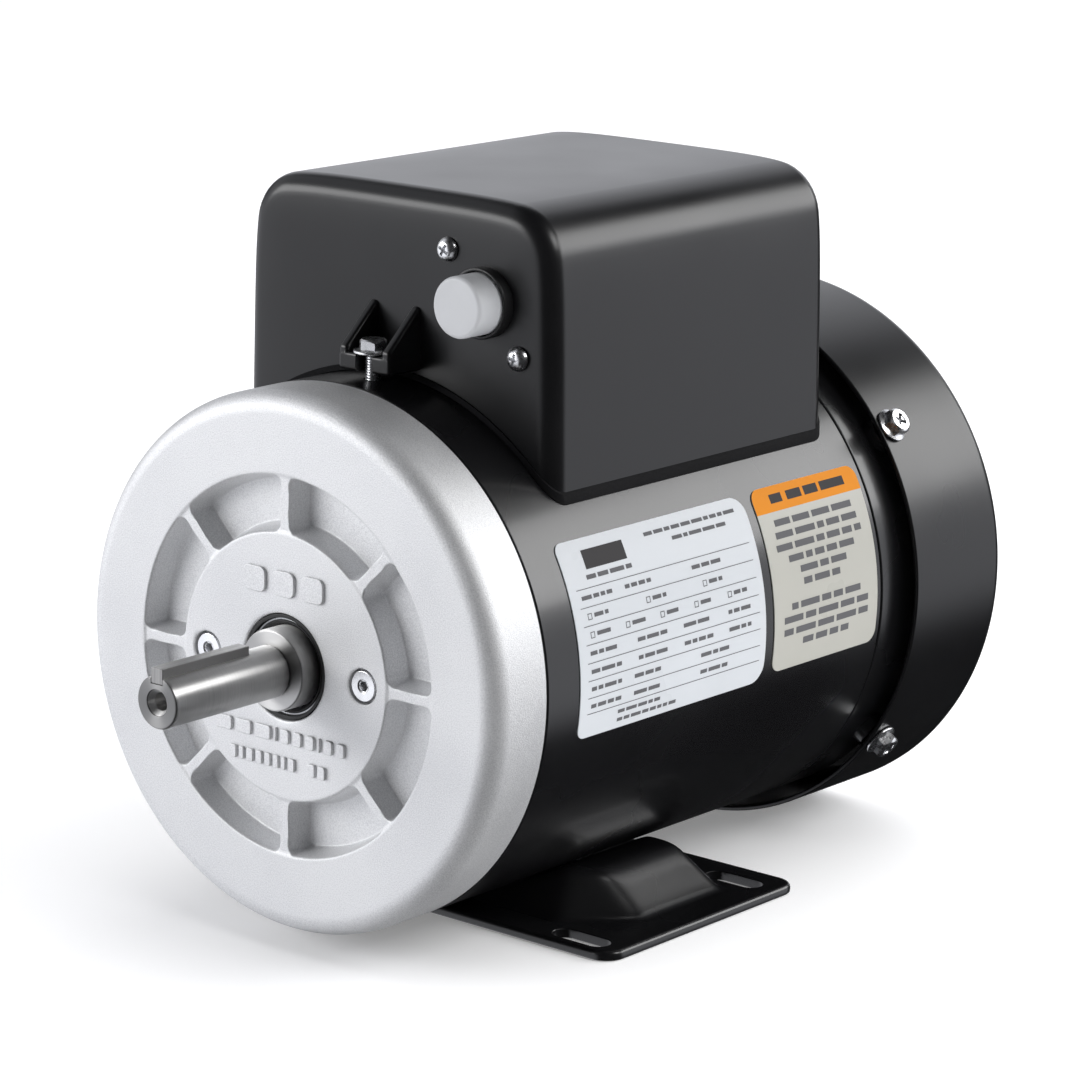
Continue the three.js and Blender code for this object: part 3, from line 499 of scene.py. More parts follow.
CAST = cast_metal("cast_aluminium", (0.80, 0.805, 0.815), (0.62, 0.625, 0.64), 0.55, grain=0.00024)
GLOSS_BLACK = paint("gloss_black_enamel", (0.0045, 0.0045, 0.0052), 0.27, coat=0.25)
SATIN_BLACK = paint("satin_black_enamel", (0.0045, 0.0045, 0.0052), 0.30, peel=0.00002)
GROUND = turned_metal("ground_steel", (0.84, 0.835, 0.825), (0.72, 0.715, 0.705), 0.40, stretch=0.85)
# Painted shade on the shaft's end face and shoulder face: their tone cut to these shares.
shade_flat_faces(GROUND, {SHAFT_END_Y: 0.36, SHAFT_END_Y + SHOULDER_S / 1000: 0.62})
KEY = turned_metal("key_steel", (0.40, 0.395, 0.385), (0.27, 0.265, 0.26), 0.34, lines=900, axis=0)
ZINC = plated("zinc_plate", (0.92, 0.925, 0.94), (0.78, 0.785, 0.80), 0.27)
BEARING = plated("bearing_steel", (0.75, 0.76, 0.77), (0.6, 0.61, 0.62), 0.12, 300)
SPRING = plated("spring_steel", (0.42, 0.43, 0.44), (0.3, 0.3, 0.31), 0.3)
RUBBER = moulded("black_rubber", (0.008, 0.008, 0.009), 0.5, 700, 0.00004)
FOAM = moulded("gasket_foam", (0.006, 0.006, 0.007), 0.8, 1400, 0.0002, gloss=0.15)
WHITE = moulded("pale_plastic", (0.54, 0.55, 0.57), 0.42, 1200, 0.00002, 0.05)
PLASTIC = moulded("black_plastic", (0.012, 0.012, 0.013), 0.42)
GREY = moulded("grey_plastic", (0.10, 0.10, 0.11), 0.5)
PHENOLIC = moulded("phenolic_board", (0.10, 0.045, 0.025), 0.5, 500, 0.00005, 0.25)
CASE = moulded("capacitor_case", (0.02, 0.02, 0.023), 0.35, 400)
CAN = turned_metal("capacitor_can", (0.7, 0.71, 0.72), (0.6, 0.61, 0.62), 0.3, lines=600)
STEEL_STACK = laminated("lamination_stack", (0.30, 0.31, 0.33), (0.14, 0.145, 0.15))
COPPER = wound("copper_winding", (0.55, 0.2, 0.08), (0.28, 0.09, 0.035))
ROTOR_CAST = cast_metal("rotor_casting", (0.6, 0.61, 0.62), (0.42, 0.43, 0.44))
BRASS = plated("brass", (0.72, 0.5, 0.2), (0.55, 0.37, 0.13), 0.25)
SILVER_FILM = film("silver_label_film", (0.61, 0.635, 0.665))
CREAM_FILM = film("cream_label_film", (0.46, 0.455, 0.415))
ORANGE_INK = film("orange_ink", (0.74, 0.26, 0.018), gloss=0.03)
DARK_INK = film("dark_ink", (0.05, 0.048, 0.05), 0.4, gloss=0.03)
GREY_INK = film("grey_ink", (0.13, 0.13, 0.138), 0.4, gloss=0.03)


# ---------------- drive end shield

def smooth(t):
    t = min(1.0, max(0.0, t))
    return t * t * t * (t * (6 * t - 15) + 10)


def pocket_depth(radius, angle, wall=2.9, corner=3.4):
    """How far the face drops below its plane at a point, with drafted walls and soft corners."""
    pitch = math.pi / 4
    off = abs((angle + pitch / 2) % pitch - pitch / 2)
    to_rib = radius * math.sin(off) - RIB_HALF
    sides = (radius - POCKET_IN, POCKET_OUT - radius, to_rib)
    short = [max(corner - d, 0.0) for d in sides]
    inside = corner - math.sqrt(sum(v * v for v in short))
    if min(sides) > corner:
        inside = min(sides)
    ring = smooth((radius - POCKET_IN + 0.4) / 2.0) * smooth((POCKET_OUT + 0.4 - radius) / 2.0)
    return max(POCKET_DEPTH * smooth(inside / wall), 0.45 * ring)


def end_shield():
    angles = []
    for rib in range(8):
        base = rib * 45.0
        angles += [base - 8.05 + 0.35 * k for k in range(47)]
        angles += [base + 8.05 + 1.445 * k for k in range(1, 20)]
    angles = [math.radians(a) for a in sorted(angles)]
    radii = [17.0, 18.5, 22, 26, 30, 34, 37.5]
    radii += [39.2 + 0.3 * k for k in range(22)]
    radii += [46.8 + 1.5 * k for k in range(5)]
    radii += [53.6 + 0.3 * k for k in range(21)]
    radii += [61, 64, 68, 72, 74]
    rows = [(16.25, FACE_S + 5.2, False), (16.25, FACE_S + 0.7, False), (16.45, FACE_S + 0.2, False)]
    rows += [(r, FACE_S, True) for r in radii]
    fillet = 6.6
    for k in range(15):
        a = math.pi / 2 * k / 14
        rows.append((SHELL_R - fillet + fillet * math.sin(a), FACE_S + fillet * (1 - math.cos(a)), False))
    rows += [(SHELL_R, 75.0, False), (82.35, 75.4, False), (82.0, 75.6, False), (79.6, 75.6, False)]
    rows += [(79.6, 80.5, False), (79.1, 81, False), (75, 81, False), (75, 65.5, False), (74.5, 65, False)]
    rows += [(38, 65, False), (37, 66, False), (37, 76, False), (26.15, 76, False), (26.15, 60.2, False)]
    rows += [(14.5, 60.2, False), (14.5, 58.2, False), (16.25, 58.2, False)]
    bm = bmesh.new()
    grid = []
    for radius, s, on_face in rows:
        ring = []
        for a in angles:
            drop_s = pocket_depth(radius, a) if on_face else 0.0
            ring.append(bm.verts.new((radius * math.cos(a), s + drop_s, radius * math.sin(a))))
        grid.append(ring)
    for ring, after in zip(grid, grid[1:] + grid[:1]):
        band(bm, ring, after)
    shield = object_from(bm)
    seat = [
        (0, -2), (5.9, -2), (5.9, -0.01), (5.45, 0.35), (5.4, 2.9),
        (5.2, 3.1), (2.7, 3.1), (2.7, 24), (0, 24),
    ]
    for x in (-CAP_SCREW_X, CAP_SCREW_X):
        combine(shield, moved(lathe(seat, 48), Matrix.Translation((x, FACE_S, 0))))
    publish(shield, "ribbed_end_shield", CAST, ["drive_end_shield"], angle=50)


def raised_marks():
    """Plain raised pads and bars cast on the hub of the end shield."""
    bars = [(x - 4.4, x + 4.4, 21.6, 29.4, 2.2) for x in (-11.2, 0.4, 12.0)]
    long_row = [7.5, 7.5, 7.5, 2.0, 4.6, 4.6, 4.6, 2.0, 4.4, 4.4]
    short_row = [3.6, 2.8, 3.6, 3.4, 3.2, 3.0, 2.6, 3.4]
    rows = (
        (-27.0, long_row, 1.1, 0.45, -23.2, -18.9, 0.9),
        (-21.5, short_row, 0.8, 0.25, -31.4, -27.4, 0.7),
        (10.3, [3.8, 3.8], 0.8, 0.25, -31.4, -27.4, 0.7),
    )
    for cursor, widths, gap, step, low, high, radius in rows:
        for width in widths:
            bars.append((cursor, cursor + width - gap, low, high, radius))
            cursor += width + step
    made = []
    for x0, x1, z0, z1, radius in bars:
        outline = rect(x0, x1, z0, z1, min(radius, (x1 - x0) / 2.05), 4)
        made.append(prism(outline, FACE_S - 0.9, FACE_S + 0.6, soft=0.3))
    publish(merged(made), "raised_casting_marks", CAST)


# ---------------- shaft end

def shaft_and_key():
    loop = [
        (0, 6), (2.4, 5), (2.6, 2.2), (4.1, 0, 0.12), (SHAFT_R, 0, 0.7), (SHAFT_R, SHOULDER_S - 1),
        (7.5, SHOULDER_S - 0.7), (7.5, SHOULDER_S), (12.4, SHOULDER_S, 0.7), (12.4, 75.7, 0.5),
        (14, 75.7, 0.5), (14, 211, 0.5), (11, 211), (11, 246.1, 0.4), (8.4, 246.1), (8.4, 291.9, 0.6),
        (0, 291.9),
    ]
    shaft = lathe(rounded(loop, 4), 128)
    combine(shaft, lathe([(0, 2), (3.1, 2), (3.1, 20), (0, 22)], 48))
    combine(shaft, prism(rect(-2.42, 2.42, 5.4, 12, 0.12, 2), -1, 36.1))
    publish(shaft, "stepped_shaft", GROUND, ["shaft"], body="rotor", angle=28)
    key = prism(rect(-2.36, 2.36, 5.56, 10.3, 0.35, 3), 0.05, 35.8, soft=0.3)
    publish(key, "square_key", KEY, ["shaft_key"], body="rotor", angle=28)


def seal():
    loop = [
        (16.05, 53.3, 0.25), (16.05, 57.9, 0.2), (13.6, 57.9), (13.6, 56.4, 0.2), (12.75, 55.3, 0.15),
        (12.75, 54.9, 0.15), (13.7, 54.1, 0.2), (14.1, 54.1, 0.2), (14.1, 54.9, 0.25), (14.9, 54.9, 0.25),
        (14.9, 53.3, 0.2),
    ]
    publish(lathe(rounded(loop, 3), 128), "lip_seal", RUBBER, ["shaft_seal"])
    spring = rect(14.2, 14.8, 54.35, 54.85, 0.1, 2)
    publish(lathe(spring, 128), "seal_spring_ring", SPRING)


def flat_screws():
    profile = [(0, 0), (4.55, 0, 0.25), (4.75, 0.9, 0.2), (2.3, 3.1), (2.3, 24), (0, 24.4)]
    dish = [(0, -1), (2.2, -1), (2.2, -0.01), (1.72, 0.3), (0, 0.3)]
    for name, x in (("left", -CAP_SCREW_X), ("right", CAP_SCREW_X)):
        head = lathe(rounded(profile, 3), 64)
        combine(head, prism(regular(6, 3.0), -1, 2.0))
        combine(head, lathe(dish, 40))
        moved(head, Matrix.Translation((x, FACE_S + 0.45, 0)))
        publish(head, f"socket_screw_{name}", ZINC, [f"bearing_cap_screw_{name}"])


# ---------------- shell, rear shield, cowl

def shell():
    loop = rounded([(80, 75.9), (SHELL_R, 75.9, 0.6), (SHELL_R, 241.3, 0.6), (80, 241.3)], 4)
    body = lathe(loop, 200)
    combine(body, merged([upright_rod(0, 112, 7.8), upright_rod(LUG_X, BOX_FRONT - LUG_REACH, 2.9)]))
    publish(body, "rolled_shell", GLOSS_BLACK, ["stator_shell"], angle=40)


def upright_rod(x, s, radius):
    """An upright cutter through the top of the shell."""
    upright = Matrix.Translation((x, s, 0)) @ Matrix.Rotation(math.pi / 2, 4, "X")
    return moved(rod(radius, 60, 95, 32), upright)


def radial(radius, s, degrees):
    a = math.radians(degrees)
    return Vector((radius * math.cos(a), s, radius * math.sin(a)))


def cowl_screw_place(radius, degrees, spin=0.0):
    return aim(radial(radius, COWL_SCREW_S, degrees), radial(1, 0, degrees), spin)


def rear_shield():
    loop = [
        (79.6, 236), (79.6, 241.6), (SHELL_R, 241.6, 0.8), (SHELL_R, 267, 2), (76, 267, 0.6), (76, 256, 2),
        (26, 256, 2), (26, 264, 1), (9.2, 264, 0.4), (9.2, 261), (20.15, 261), (20.15, 246), (26, 246, 1),
        (26, 251, 2), (75.5, 251, 2), (75.5, 236),
    ]
    body = lathe(rounded(loop, 3))
    for degrees in COWL_SCREWS.values():
        boss = lathe(rounded([(0, 0), (6.4, 0), (5.8, 7.6, 0.5), (0, 7.6)], 3), 32)
        combine(body, moved(boss, cowl_screw_place(78.4, degrees)), "UNION")
    tools = [upright_rod(LUG_X, BOX_REAR + LUG_REACH, 2.9)]
    for degrees in (45, 135, 225, 315):
        tool = lathe([(0, 230), (3.5, 230), (3.5, 256), (6.3, 256), (6.3, 270), (0, 270)], 24)
        tools.append(moved(tool, Matrix.Translation(radial(72.5, 0, degrees))))
    for degrees in COWL_SCREWS.values():
        tools.append(moved(rod(2.8, 0, 25, 24), cowl_screw_place(68, degrees)))
    combine(body, merged(tools))
    publish(body, "rear_shield", GLOSS_BLACK, ["rear_end_shield"], angle=40)


def cowl():
    inside = COWL_R - COWL_SHEET
    loop = [
        (inside, COWL_FRONT, 0.6), (COWL_R, COWL_FRONT, 0.6), (COWL_R, COWL_REAR, 5.5), (0, COWL_REAR),
        (0, COWL_REAR - COWL_SHEET), (inside, COWL_REAR - COWL_SHEET, 4),
    ]
    body = lathe(rounded(loop, 7), 200)
    tools = []
    for radius, count, length in ((32, 10, 20), (62, 20, 26)):
        outline = rect(-2.2, 2.2, radius - length / 2, radius + length / 2, 2.15, 6)
        for k in range(count):
            slot = prism(outline, COWL_REAR - 4, COWL_REAR + 2)
            tools.append(moved(slot, Matrix.Rotation(2 * math.pi * k / count, 4, "Y")))
    for degrees in COWL_SCREWS.values():
        tools.append(moved(rod(2.9, 0, 10, 24), cowl_screw_place(82, degrees)))
    combine(body, merged(tools))
    publish(body, "sheet_fan_cover", SATIN_BLACK, ["fan_cover"], angle=35)


def hex_screw(across, height, flange, flange_rise, shank, length, recess=None):
    """A washer-headed hexagon screw standing on local y = 0, with its chamfered head toward +Y."""
    washer = [(0, 0), (flange, 0, 0.25), (flange, 0.75, 0.3), (across * 0.5, flange_rise), (0, flange_rise)]
    head = prism(regular(6, across), flange_rise - 0.4, height)
    corner = across / 2 / math.cos(math.pi / 6)
    dome = [
        (0, -1), (corner + 1, -1), (corner + 1, height - 1.6), (corner + 0.02, height - 0.95),
        (across * 0.46, height - 0.08), (across * 0.44, height), (0, height),
    ]
    combine(head, lathe(dome, 72), "INTERSECT")
    combine(head, lathe(rounded(washer, 3), 64), "UNION")
    if recess == "cross":
        rim = across * 0.3
        dish = [(0, height + 1), (rim, height + 1), (across * 0.26, height - 0.35), (0, height - 0.5)]
        combine(head, lathe(dish, 40))
        combine(head, cross_tool(rim, 1.25, height - 0.2, 2.0))
    thread = [(0, 0.4), (shank, 0.4)]
    s = -0.3
    while s > -length:
        thread += [(shank, s), (shank - 0.35, s - 0.4)]
        s -= 0.8
    thread += [(shank * 0.8, -length - 0.4), (0, -length - 0.4)]
    combine(head, lathe(thread, 40), "UNION")
    return head


def cowl_screws():
    master = hex_screw(8.0, 4.7, 5.6, 1.5, 2.35, 12.5, "cross")
    for (name, degrees), spin in zip(COWL_SCREWS.items(), (0.35, 0.1, 0.6, 0.9)):
        screw = copy_at(master, cowl_screw_place(COWL_R + 0.1, degrees, spin))
        publish(screw, f"cover_screw_{name}", ZINC, [f"cowl_screw_{name}"], angle=25)
    drop(master)


def fan():
    hub = [
        (8.8, 268.5), (14, 268.5, 0.8), (14, 274, 2), (76, 274, 0.5), (76, 276, 0.5), (14.5, 276, 2),
        (14, 290, 1), (8.8, 290),
    ]
    blades = []
    for k in range(8):
        outline = rounded([(275.4, 12), (288, 12), (292, 24, 3), (292, 72, 4), (275.4, 74)], 4)
        blade = prism(outline, -0.9, 0.9, "x", 0.3)
        blades.append(moved(blade, Matrix.Rotation(2 * math.pi * (k + 0.5) / 8, 4, "Y")))
    whole = merged([lathe(rounded(hub, 3), 96), *blades])
    publish(whole, "cooling_fan", PLASTIC, ["fan"], body="rotor")


# ---------------- foot

def shell_height(x):
    """Height of the shell's underside at x, in the motor frame."""
    return -math.sqrt(max(0.0, (SHELL_R + 0.3) ** 2 - x * x))


HUMP = [(66, 142), (66, 183), (50, 189.2), (-50, 189.2), (-66, 183), (-66, 142), (-48, 123.0), (48, 123.0)]
SIDE_SLOPE, END_SLOPE = 0.92, 1.35
CROWN = 13.2
HUMP_SOFT = 1.1
HUMP_START = -2.5
HUMP_BLEND, WALL_BLEND = 1.3, 0.8
PLATE = 3.0


def eased(value, blend):
    """A value held above zero, with a soft bend where it would cross."""
    return 0.5 * (value + math.sqrt(value * value + blend * blend))


def hump_rise(x, s):
    """Height of the pressed saddle above the plate's top, before it meets the shell."""
    rises = []
    for (ax, ay), (bx, by) in zip(HUMP, HUMP[1:] + HUMP[:1]):
        ex, ey = bx - ax, by - ay
        distance = (ex * (s - ay) - ey * (x - ax)) / math.hypot(ex, ey)
        rises.append(distance * (END_SLOPE if ex else SIDE_SLOPE))
    rises.append(CROWN)
    low = min(rises)
    total = sum(math.exp((low - rise) / HUMP_SOFT) for rise in rises)
    value = low - HUMP_SOFT * (math.log(total) - 0.35)
    if value <= HUMP_START:
        return 0.0
    return eased(value, HUMP_BLEND) - eased(HUMP_START, HUMP_BLEND)


def saddle_top(x, s):
    free = FLOOR + PLATE + hump_rise(x, s)
    return free - eased(free - shell_height(x), WALL_BLEND)


def foot():
    bm = bmesh.new()
    xs = [-70 + 1.4 * k for k in range(101)]
    ys = [122.4 + 1.35 * k for k in range(50)] + [189.9]
    top, under = [], []
    for y in ys:
        edge_y = y in (ys[0], ys[-1])
        row, low = [], []
        for x in xs:
            flat = edge_y or abs(x) > 69.9
            z = FLOOR + PLATE if flat else max(FLOOR + PLATE, saddle_top(x, y))
            row.append(bm.verts.new((x, y, z)))
            low.append(bm.verts.new((x, y, z - PLATE)))
        top.append(row)
        under.append(low)
    sheet(bm, top)
    sheet(bm, under)
    corner = rounded([(-79.4, 110.6, 7), (79.4, 110.6, 7), (79.4, 206.1, 7), (-79.4, 206.1, 7)], 10)
    heights = (0.0, 0.35, 0.9, 1.6, 2.2, 2.65, 2.9, PLATE)
    insets = (0.4, 0.05, 0.0, 0.0, 0.16, 0.5, 0.95, 1.5)
    loops = []
    for height, inset in zip(heights, insets):
        loops.append([bm.verts.new((x, y, FLOOR + height)) for x, y in offset(corner, -inset)])
    for a, b in zip(loops, loops[1:]):
        band(bm, a, b)

    def rim(grid):
        """The open grid's edge, as one loop of vertices."""
        loop = list(grid[0]) + [r[-1] for r in grid[1:]] + list(reversed(grid[-1][:-1]))
        return loop + [r[0] for r in reversed(grid[1:-1])]

    for outer, grid in ((loops[-1], top), (loops[0], under)):
        edges = []
        for loop in (outer, rim(grid)):
            for pair in zip(loop, loop[1:] + loop[:1]):
                edges.append(bm.edges.get(pair) or bm.edges.new(pair))
        bmesh.ops.triangle_fill(bm, use_beauty=True, use_dissolve=False, edges=edges)
    base = object_from(bm)
    for side in (-1, 1):
        for s in (117.5, 193.7):
            outline = rect(side * 63 - 10.4, side * 63 + 10.4, s - 3.9, s + 3.9, 3.85, 8)
            loops = []
            for height, grow in ((-1, 0.3), (0.0, 0.3), (0.3, 0), (2.8, 0), (3.0, 0.2), (9, 0.2)):
                loops.append([(x, y, FLOOR + height) for x, y in offset(outline, grow)])
            combine(base, loft(loops))
    publish(base, "pressed_foot", GLOSS_BLACK, ["foot_base"], angle=38)


# ---------------- capacitor box

TAIL = (0.03, 0.07, 0.12, 0.19, 0.28, 0.40, 0.56, 0.78)
WALL_RUNS = (1.2, 2.8, 4.8, 7.5, 11, 16, 23, 32, 42)


def corner_curve(radius, crown, length, steps):
    """Half an edge of the drawn box, as (inset, depth): an arc that eases into a slightly crowned wall."""
    tilt = math.atan(crown / length)
    base = crown - radius * (1 - math.cos(tilt))
    arc = [math.pi / 2 - (math.pi / 2 - tilt) * k / steps for k in range(steps + 1)]
    return base, tilt, [(radius * (1 - math.sin(t)), base + radius * (1 - math.cos(t))) for t in arc]


def box_loop(inset, bottom, crown=1.1, length=9.0, steps=9):
    """The box's cross-section shrunk by an inset, from the right foot round to the left foot."""
    radius = max(16.5 - inset, 2.5)
    base, tilt, _ = corner_curve(radius, crown, length, steps)
    top = BOX_TOP + 0.8 - inset
    half = 60.4 - inset
    start = base + radius * (1 - math.sin(tilt))
    right = [(half, bottom)]
    for fraction in reversed(TAIL):
        fall = fraction * (top - start - bottom)
        right.append((half - crown * math.exp(-fall / length), top - start - fall))
    for k in range(steps + 1):
        turn = tilt + (math.pi / 2 - 2 * tilt) * k / steps
        x = half - base - radius * (1 - math.cos(turn))
        right.append((x, top - base - radius * (1 - math.sin(turn))))
    for fraction in TAIL:
        run = fraction * (half - start)
        right.append((half - start - run, top - crown * math.exp(-run / length)))
    drafted = [(x + (BOX_TOP - z) * 0.0173 * min(1, x / 20), z) for x, z in right]
    mirrored = [(-x, z) for x, z in reversed(drafted)]
    return [(BOX_X + x, z) for x, z in drafted + mirrored]


def box_block(inset, front, rear, edge, bottom, crown=0.9, length=7.0):
    """The box as a lofted solid whose front and rear walls are slightly crowned too."""
    _, _, curve = corner_curve(edge - crown, crown, length, 8)
    last = curve[-1][0]
    curve += [(last + run, crown * math.exp(-run / length)) for run in WALL_RUNS]
    stations = [(front + depth, inset + i) for i, depth in reversed(curve)]
    stations += [(rear - depth, inset + i) for i, depth in curve]
    return loft([[(x, s, z) for x, z in box_loop(i, bottom)] for s, i in stations])


def long_cylinder(radius, front=60, rear=260):
    return rod(radius, front, rear, 200)


def lug(wall, toward):
    """A fixing lug: a slotted plate between two triangular gussets."""
    free = wall + toward * 13.9
    back = wall - toward * 1.6
    plate = prism(rect(LUG_X - 10.2, LUG_X + 10.2, 84.8, 90.3, 1.3, 4), *sorted((free, back)), soft=1.1)
    for side in (-1, 1):
        sides = sorted((LUG_X + side * 10.06, LUG_X + side * 6.7))
        root_s, tip_s = back + toward * 0.3, free - toward * 0.14
        outline = [
            (root_s, 104.2), (wall + toward * 0.4, 104.0, 1.6), (tip_s, 91.8, 1.8), (tip_s, 85.2, 1.2),
            (root_s, 85.2),
        ]
        combine(plate, prism(rounded(outline, 5), *sides, "x", 1.1), "UNION")
    slot_ends = sorted((wall + toward * (LUG_REACH - 3.3), free + toward * 4))
    slot = rect(LUG_X - 3.3, LUG_X + 3.3, *slot_ends, 3.2, 6)
    combine(plate, prism(slot, 80, 95, "z"))
    return plate


def capacitor_box():
    body = box_block(0, BOX_FRONT, BOX_REAR, 7.4, 40)
    combine(body, box_block(2.4, BOX_FRONT + 2.4, BOX_REAR - 2.4, 5, 30))
    combine(body, long_cylinder(84.5))
    for wall, toward in ((BOX_FRONT, -1), (BOX_REAR, 1)):
        combine(body, lug(wall, toward), "UNION")
    combine(body, long_cylinder(84.5, BOX_FRONT - 0.6, BOX_REAR + 0.6))
    combine(body, moved(rod(10.1, 90, 104, 64), BUTTON_PLACE))
    combine(body, moved(rod(8.4, 0, 20, 40), aim((-48, GLAND_S, GLAND_Z), (-1, 0, 0))))
    for x, z in OVERLOAD_SCREWS.values():
        combine(body, moved(rod(2.3, 90, 104, 24), Matrix.Translation((x, 0, z))))
    publish(body, "drawn_capacitor_box", SATIN_BLACK, ["capacitor_box"], angle=40)


def gasket():
    ring = box_block(-0.6, BOX_FRONT - 0.6, BOX_REAR + 0.6, 8, 41)
    combine(ring, box_block(2.8, BOX_FRONT + 2.8, BOX_REAR - 2.8, 5, 30))
    combine(ring, long_cylinder(84.45), "INTERSECT")
    combine(ring, long_cylinder(82.7, 50, 270))
    publish(ring, "foam_gasket", FOAM, ["box_gasket"], angle=40)


def box_bolts():
    master = hex_screw(7.8, 4.1, 6.0, 1.2, 2.5, 14)
    places = (("front", BOX_FRONT - LUG_REACH, 0.3), ("rear", BOX_REAR + LUG_REACH, 1.3))
    for name, s, spin in places:
        bolt = copy_at(master, aim((LUG_X, s, 90.45), (0, 0, 1), spin))
        publish(bolt, f"flange_bolt_{name}", ZINC, [f"box_bolt_{name}"], angle=25)
    drop(master)


def reset_button():
    front = BOX_FRONT - 13
    loop = [
        (0, front), (9.2, front, 1.3), (9.2, 100.3), (11.2, 100.3, 0.2), (11.2, 101.9, 0.2), (3.5, 101.9),
        (3.5, 113.9, 0.4), (0, 113.9),
    ]
    body = moved(lathe(rounded(loop, 6), 96), BUTTON_PLACE)
    publish(body, "reset_push_button", WHITE, ["reset_button"], body="reset_plunger")


def button_shade_collar():
    """Black sleeve of the overload protector, which the button slides in; its black ring also puts painted
    shade in the dark gap round the button's base.
    """
    loop = rounded([(9.6, 98), (9.6, 93.8, 0.3), (10.6, 93.8, 0.5), (10.6, 98)], 4)
    publish(moved(lathe(loop, 96), BUTTON_PLACE), "button_shade_collar", PLASTIC)


def reset_spring():
    """The wire coil behind the button, drawn as long as the CAD spring it replaces."""
    low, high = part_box("reset_spring")
    start, end = (1000 * (y - SHAFT_END_Y) for y in (low[1], high[1]))
    wire, radius = 0.45, 5.5
    turns, per_turn = 3.5, 40
    flat = 0.5 / turns
    count = int(turns * per_turn)
    loops = []
    for i in range(count + 1):
        climb = min(1.0, max(0.0, (i / count - flat) / (1 - 2 * flat)))
        s = start + wire + climb * (end - start - 2 * wire)
        turn = 2 * math.pi * i / per_turn
        ring = []
        for k in range(12):
            a = 2 * math.pi * k / 12
            reach = radius + wire * math.cos(a)
            ring.append((reach * math.cos(turn), s + wire * math.sin(a), reach * math.sin(turn)))
        loops.append(ring)
    coil = moved(loft(loops), BUTTON_PLACE)
    publish(coil, "reset_coil_spring", SPRING, ["reset_spring"], angle=60, weighted=False)
    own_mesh(coil)


def pan_screws():
    profile = [
        (0, -2.4), (1.5, -2.3), (2.4, -2.0), (3.1, -1.4), (3.55, -0.7), (3.7, 0),
        (1.8, 0), (1.8, 11.5), (0, 11.5),
    ]
    for (name, (x, z)), spin in zip(OVERLOAD_SCREWS.items(), (0.5, 0.2)):
        head = lathe(profile, 64)
        combine(head, moved(cross_tool(1.9, 1.0, 2.0, 1.6), Matrix.Rotation(math.pi, 4, "X")))
        moved(head, Matrix.Translation((x, BOX_FRONT - 0.1, z)) @ Matrix.Rotation(spin, 4, "Y"))
        publish(head, f"pan_screw_{name}", ZINC, [f"overload_screw_{name}"], angle=35)


def cable_gland():
    place = aim((0, GLAND_S, GLAND_Z), (-1, 0, 0))
    body = lathe([(5, 54.5), (7.8, 54.5), (7.8, 75), (5, 75)], 64)
    combine(body, prism(regular(6, 21.6), 59.7, 64.4, soft=0.5), "UNION")
    combine(body, rod(5, 50, 80, 64))
    publish(moved(body, place), "gland_body", PLASTIC, ["cable_gland_body"], angle=30)
    loop = [
        (8.2, 65), (9.9, 65, 0.4), (9.9, 73, 0.6), (9.9, 74.5, 1.5), (7.4, 80, 1.2), (4.7, 80, 0.8),
        (4.7, 75.4), (8.2, 75.4),
    ]
    nut = lathe(rounded(loop, 4), 72)
    hexagon = prism(regular(6, 19.9), 65.2, 73, soft=0.6)
    combine(hexagon, rod(8.2, 50, 90, 64))
    combine(nut, hexagon, "UNION")
    publish(moved(nut, place), "gland_nut", PLASTIC, ["cable_gland_nut"], angle=30)


# ---------------- labels

LABEL_R = 82.55
RATING = (90.5, 180.0, 30.8, -10.0, LABEL_R)
NOTICE = (184.5, 238.7, 31.0, -9.0, LABEL_R)
LABEL_THICK = 0.28
TICK_BOX = ((0, 1.9, 0, 0.25), (0, 1.9, 1.65, 1.9), (0, 0.25, 0, 1.9), (1.65, 1.9, 0, 1.9))


def curved_patch(s0, s1, top, bottom, radius, thickness, corners=(0, 0)):
    """A thin curved rectangle on the shell, from top to bottom degrees above the axis.

    The corners are the radii at its near and far ends.
    """
    height = math.radians(top - bottom) * radius
    reach = max(corners)
    if reach > 0:
        ys = [reach * (1 - math.cos(math.pi / 2 * k / 8)) for k in range(9)]
        ys += [height - y for y in ys]
        ys += [reach + (height - 2 * reach) * k / 24 for k in range(1, 24)]
        ys = sorted({round(y, 5) for y in ys})
    else:
        steps = max(2, int(height / 2.5))
        ys = [height * k / steps for k in range(steps + 1)]
    bm = bmesh.new()
    outer, inner = [], []

    def edge(y, corner):
        near = min(y, height - y)
        if corner <= 0 or near >= corner:
            return 0.0
        return corner - math.sqrt(max(0.0, corner ** 2 - (corner - near) ** 2))

    for y in ys:
        angle = math.radians(top) - y / radius
        span = (s0 + edge(y, corners[0]), s1 - edge(y, corners[1]))
        for ring, r in ((outer, radius + thickness), (inner, radius)):
            ring.append([bm.verts.new((r * math.cos(angle), s, r * math.sin(angle))) for s in span])
    sheet(bm, outer)
    sheet(bm, inner)
    for k in range(len(ys) - 1):
        for side in (0, 1):
            bm.faces.new((outer[k][side], outer[k + 1][side], inner[k + 1][side], inner[k][side]))
    for k in (0, -1):
        bm.faces.new((outer[k][0], outer[k][1], inner[k][1], inner[k][0]))
    return object_from(bm)


def label_rect(label, u0, u1, v0, v1):
    """A printed rectangle: u from the label's near edge, v down from its top, in millimetres."""
    s0, s1, top, bottom, radius = label
    per = math.degrees(1 / radius)
    return curved_patch(s0 + u0, s0 + u1, top - v0 * per, top - v1 * per, radius + 0.3, 0.035)


def text_bars(label, rng, u0, u1, v, size):
    """A row of plain bars standing for a line of print."""
    made = []
    u = u0
    while u < u1 - size:
        word = min(size * rng.uniform(1.4, 4.6), u1 - u)
        made.append(label_rect(label, u, u + word, v, v + size * 0.9))
        u += word + size * 0.6
    return made


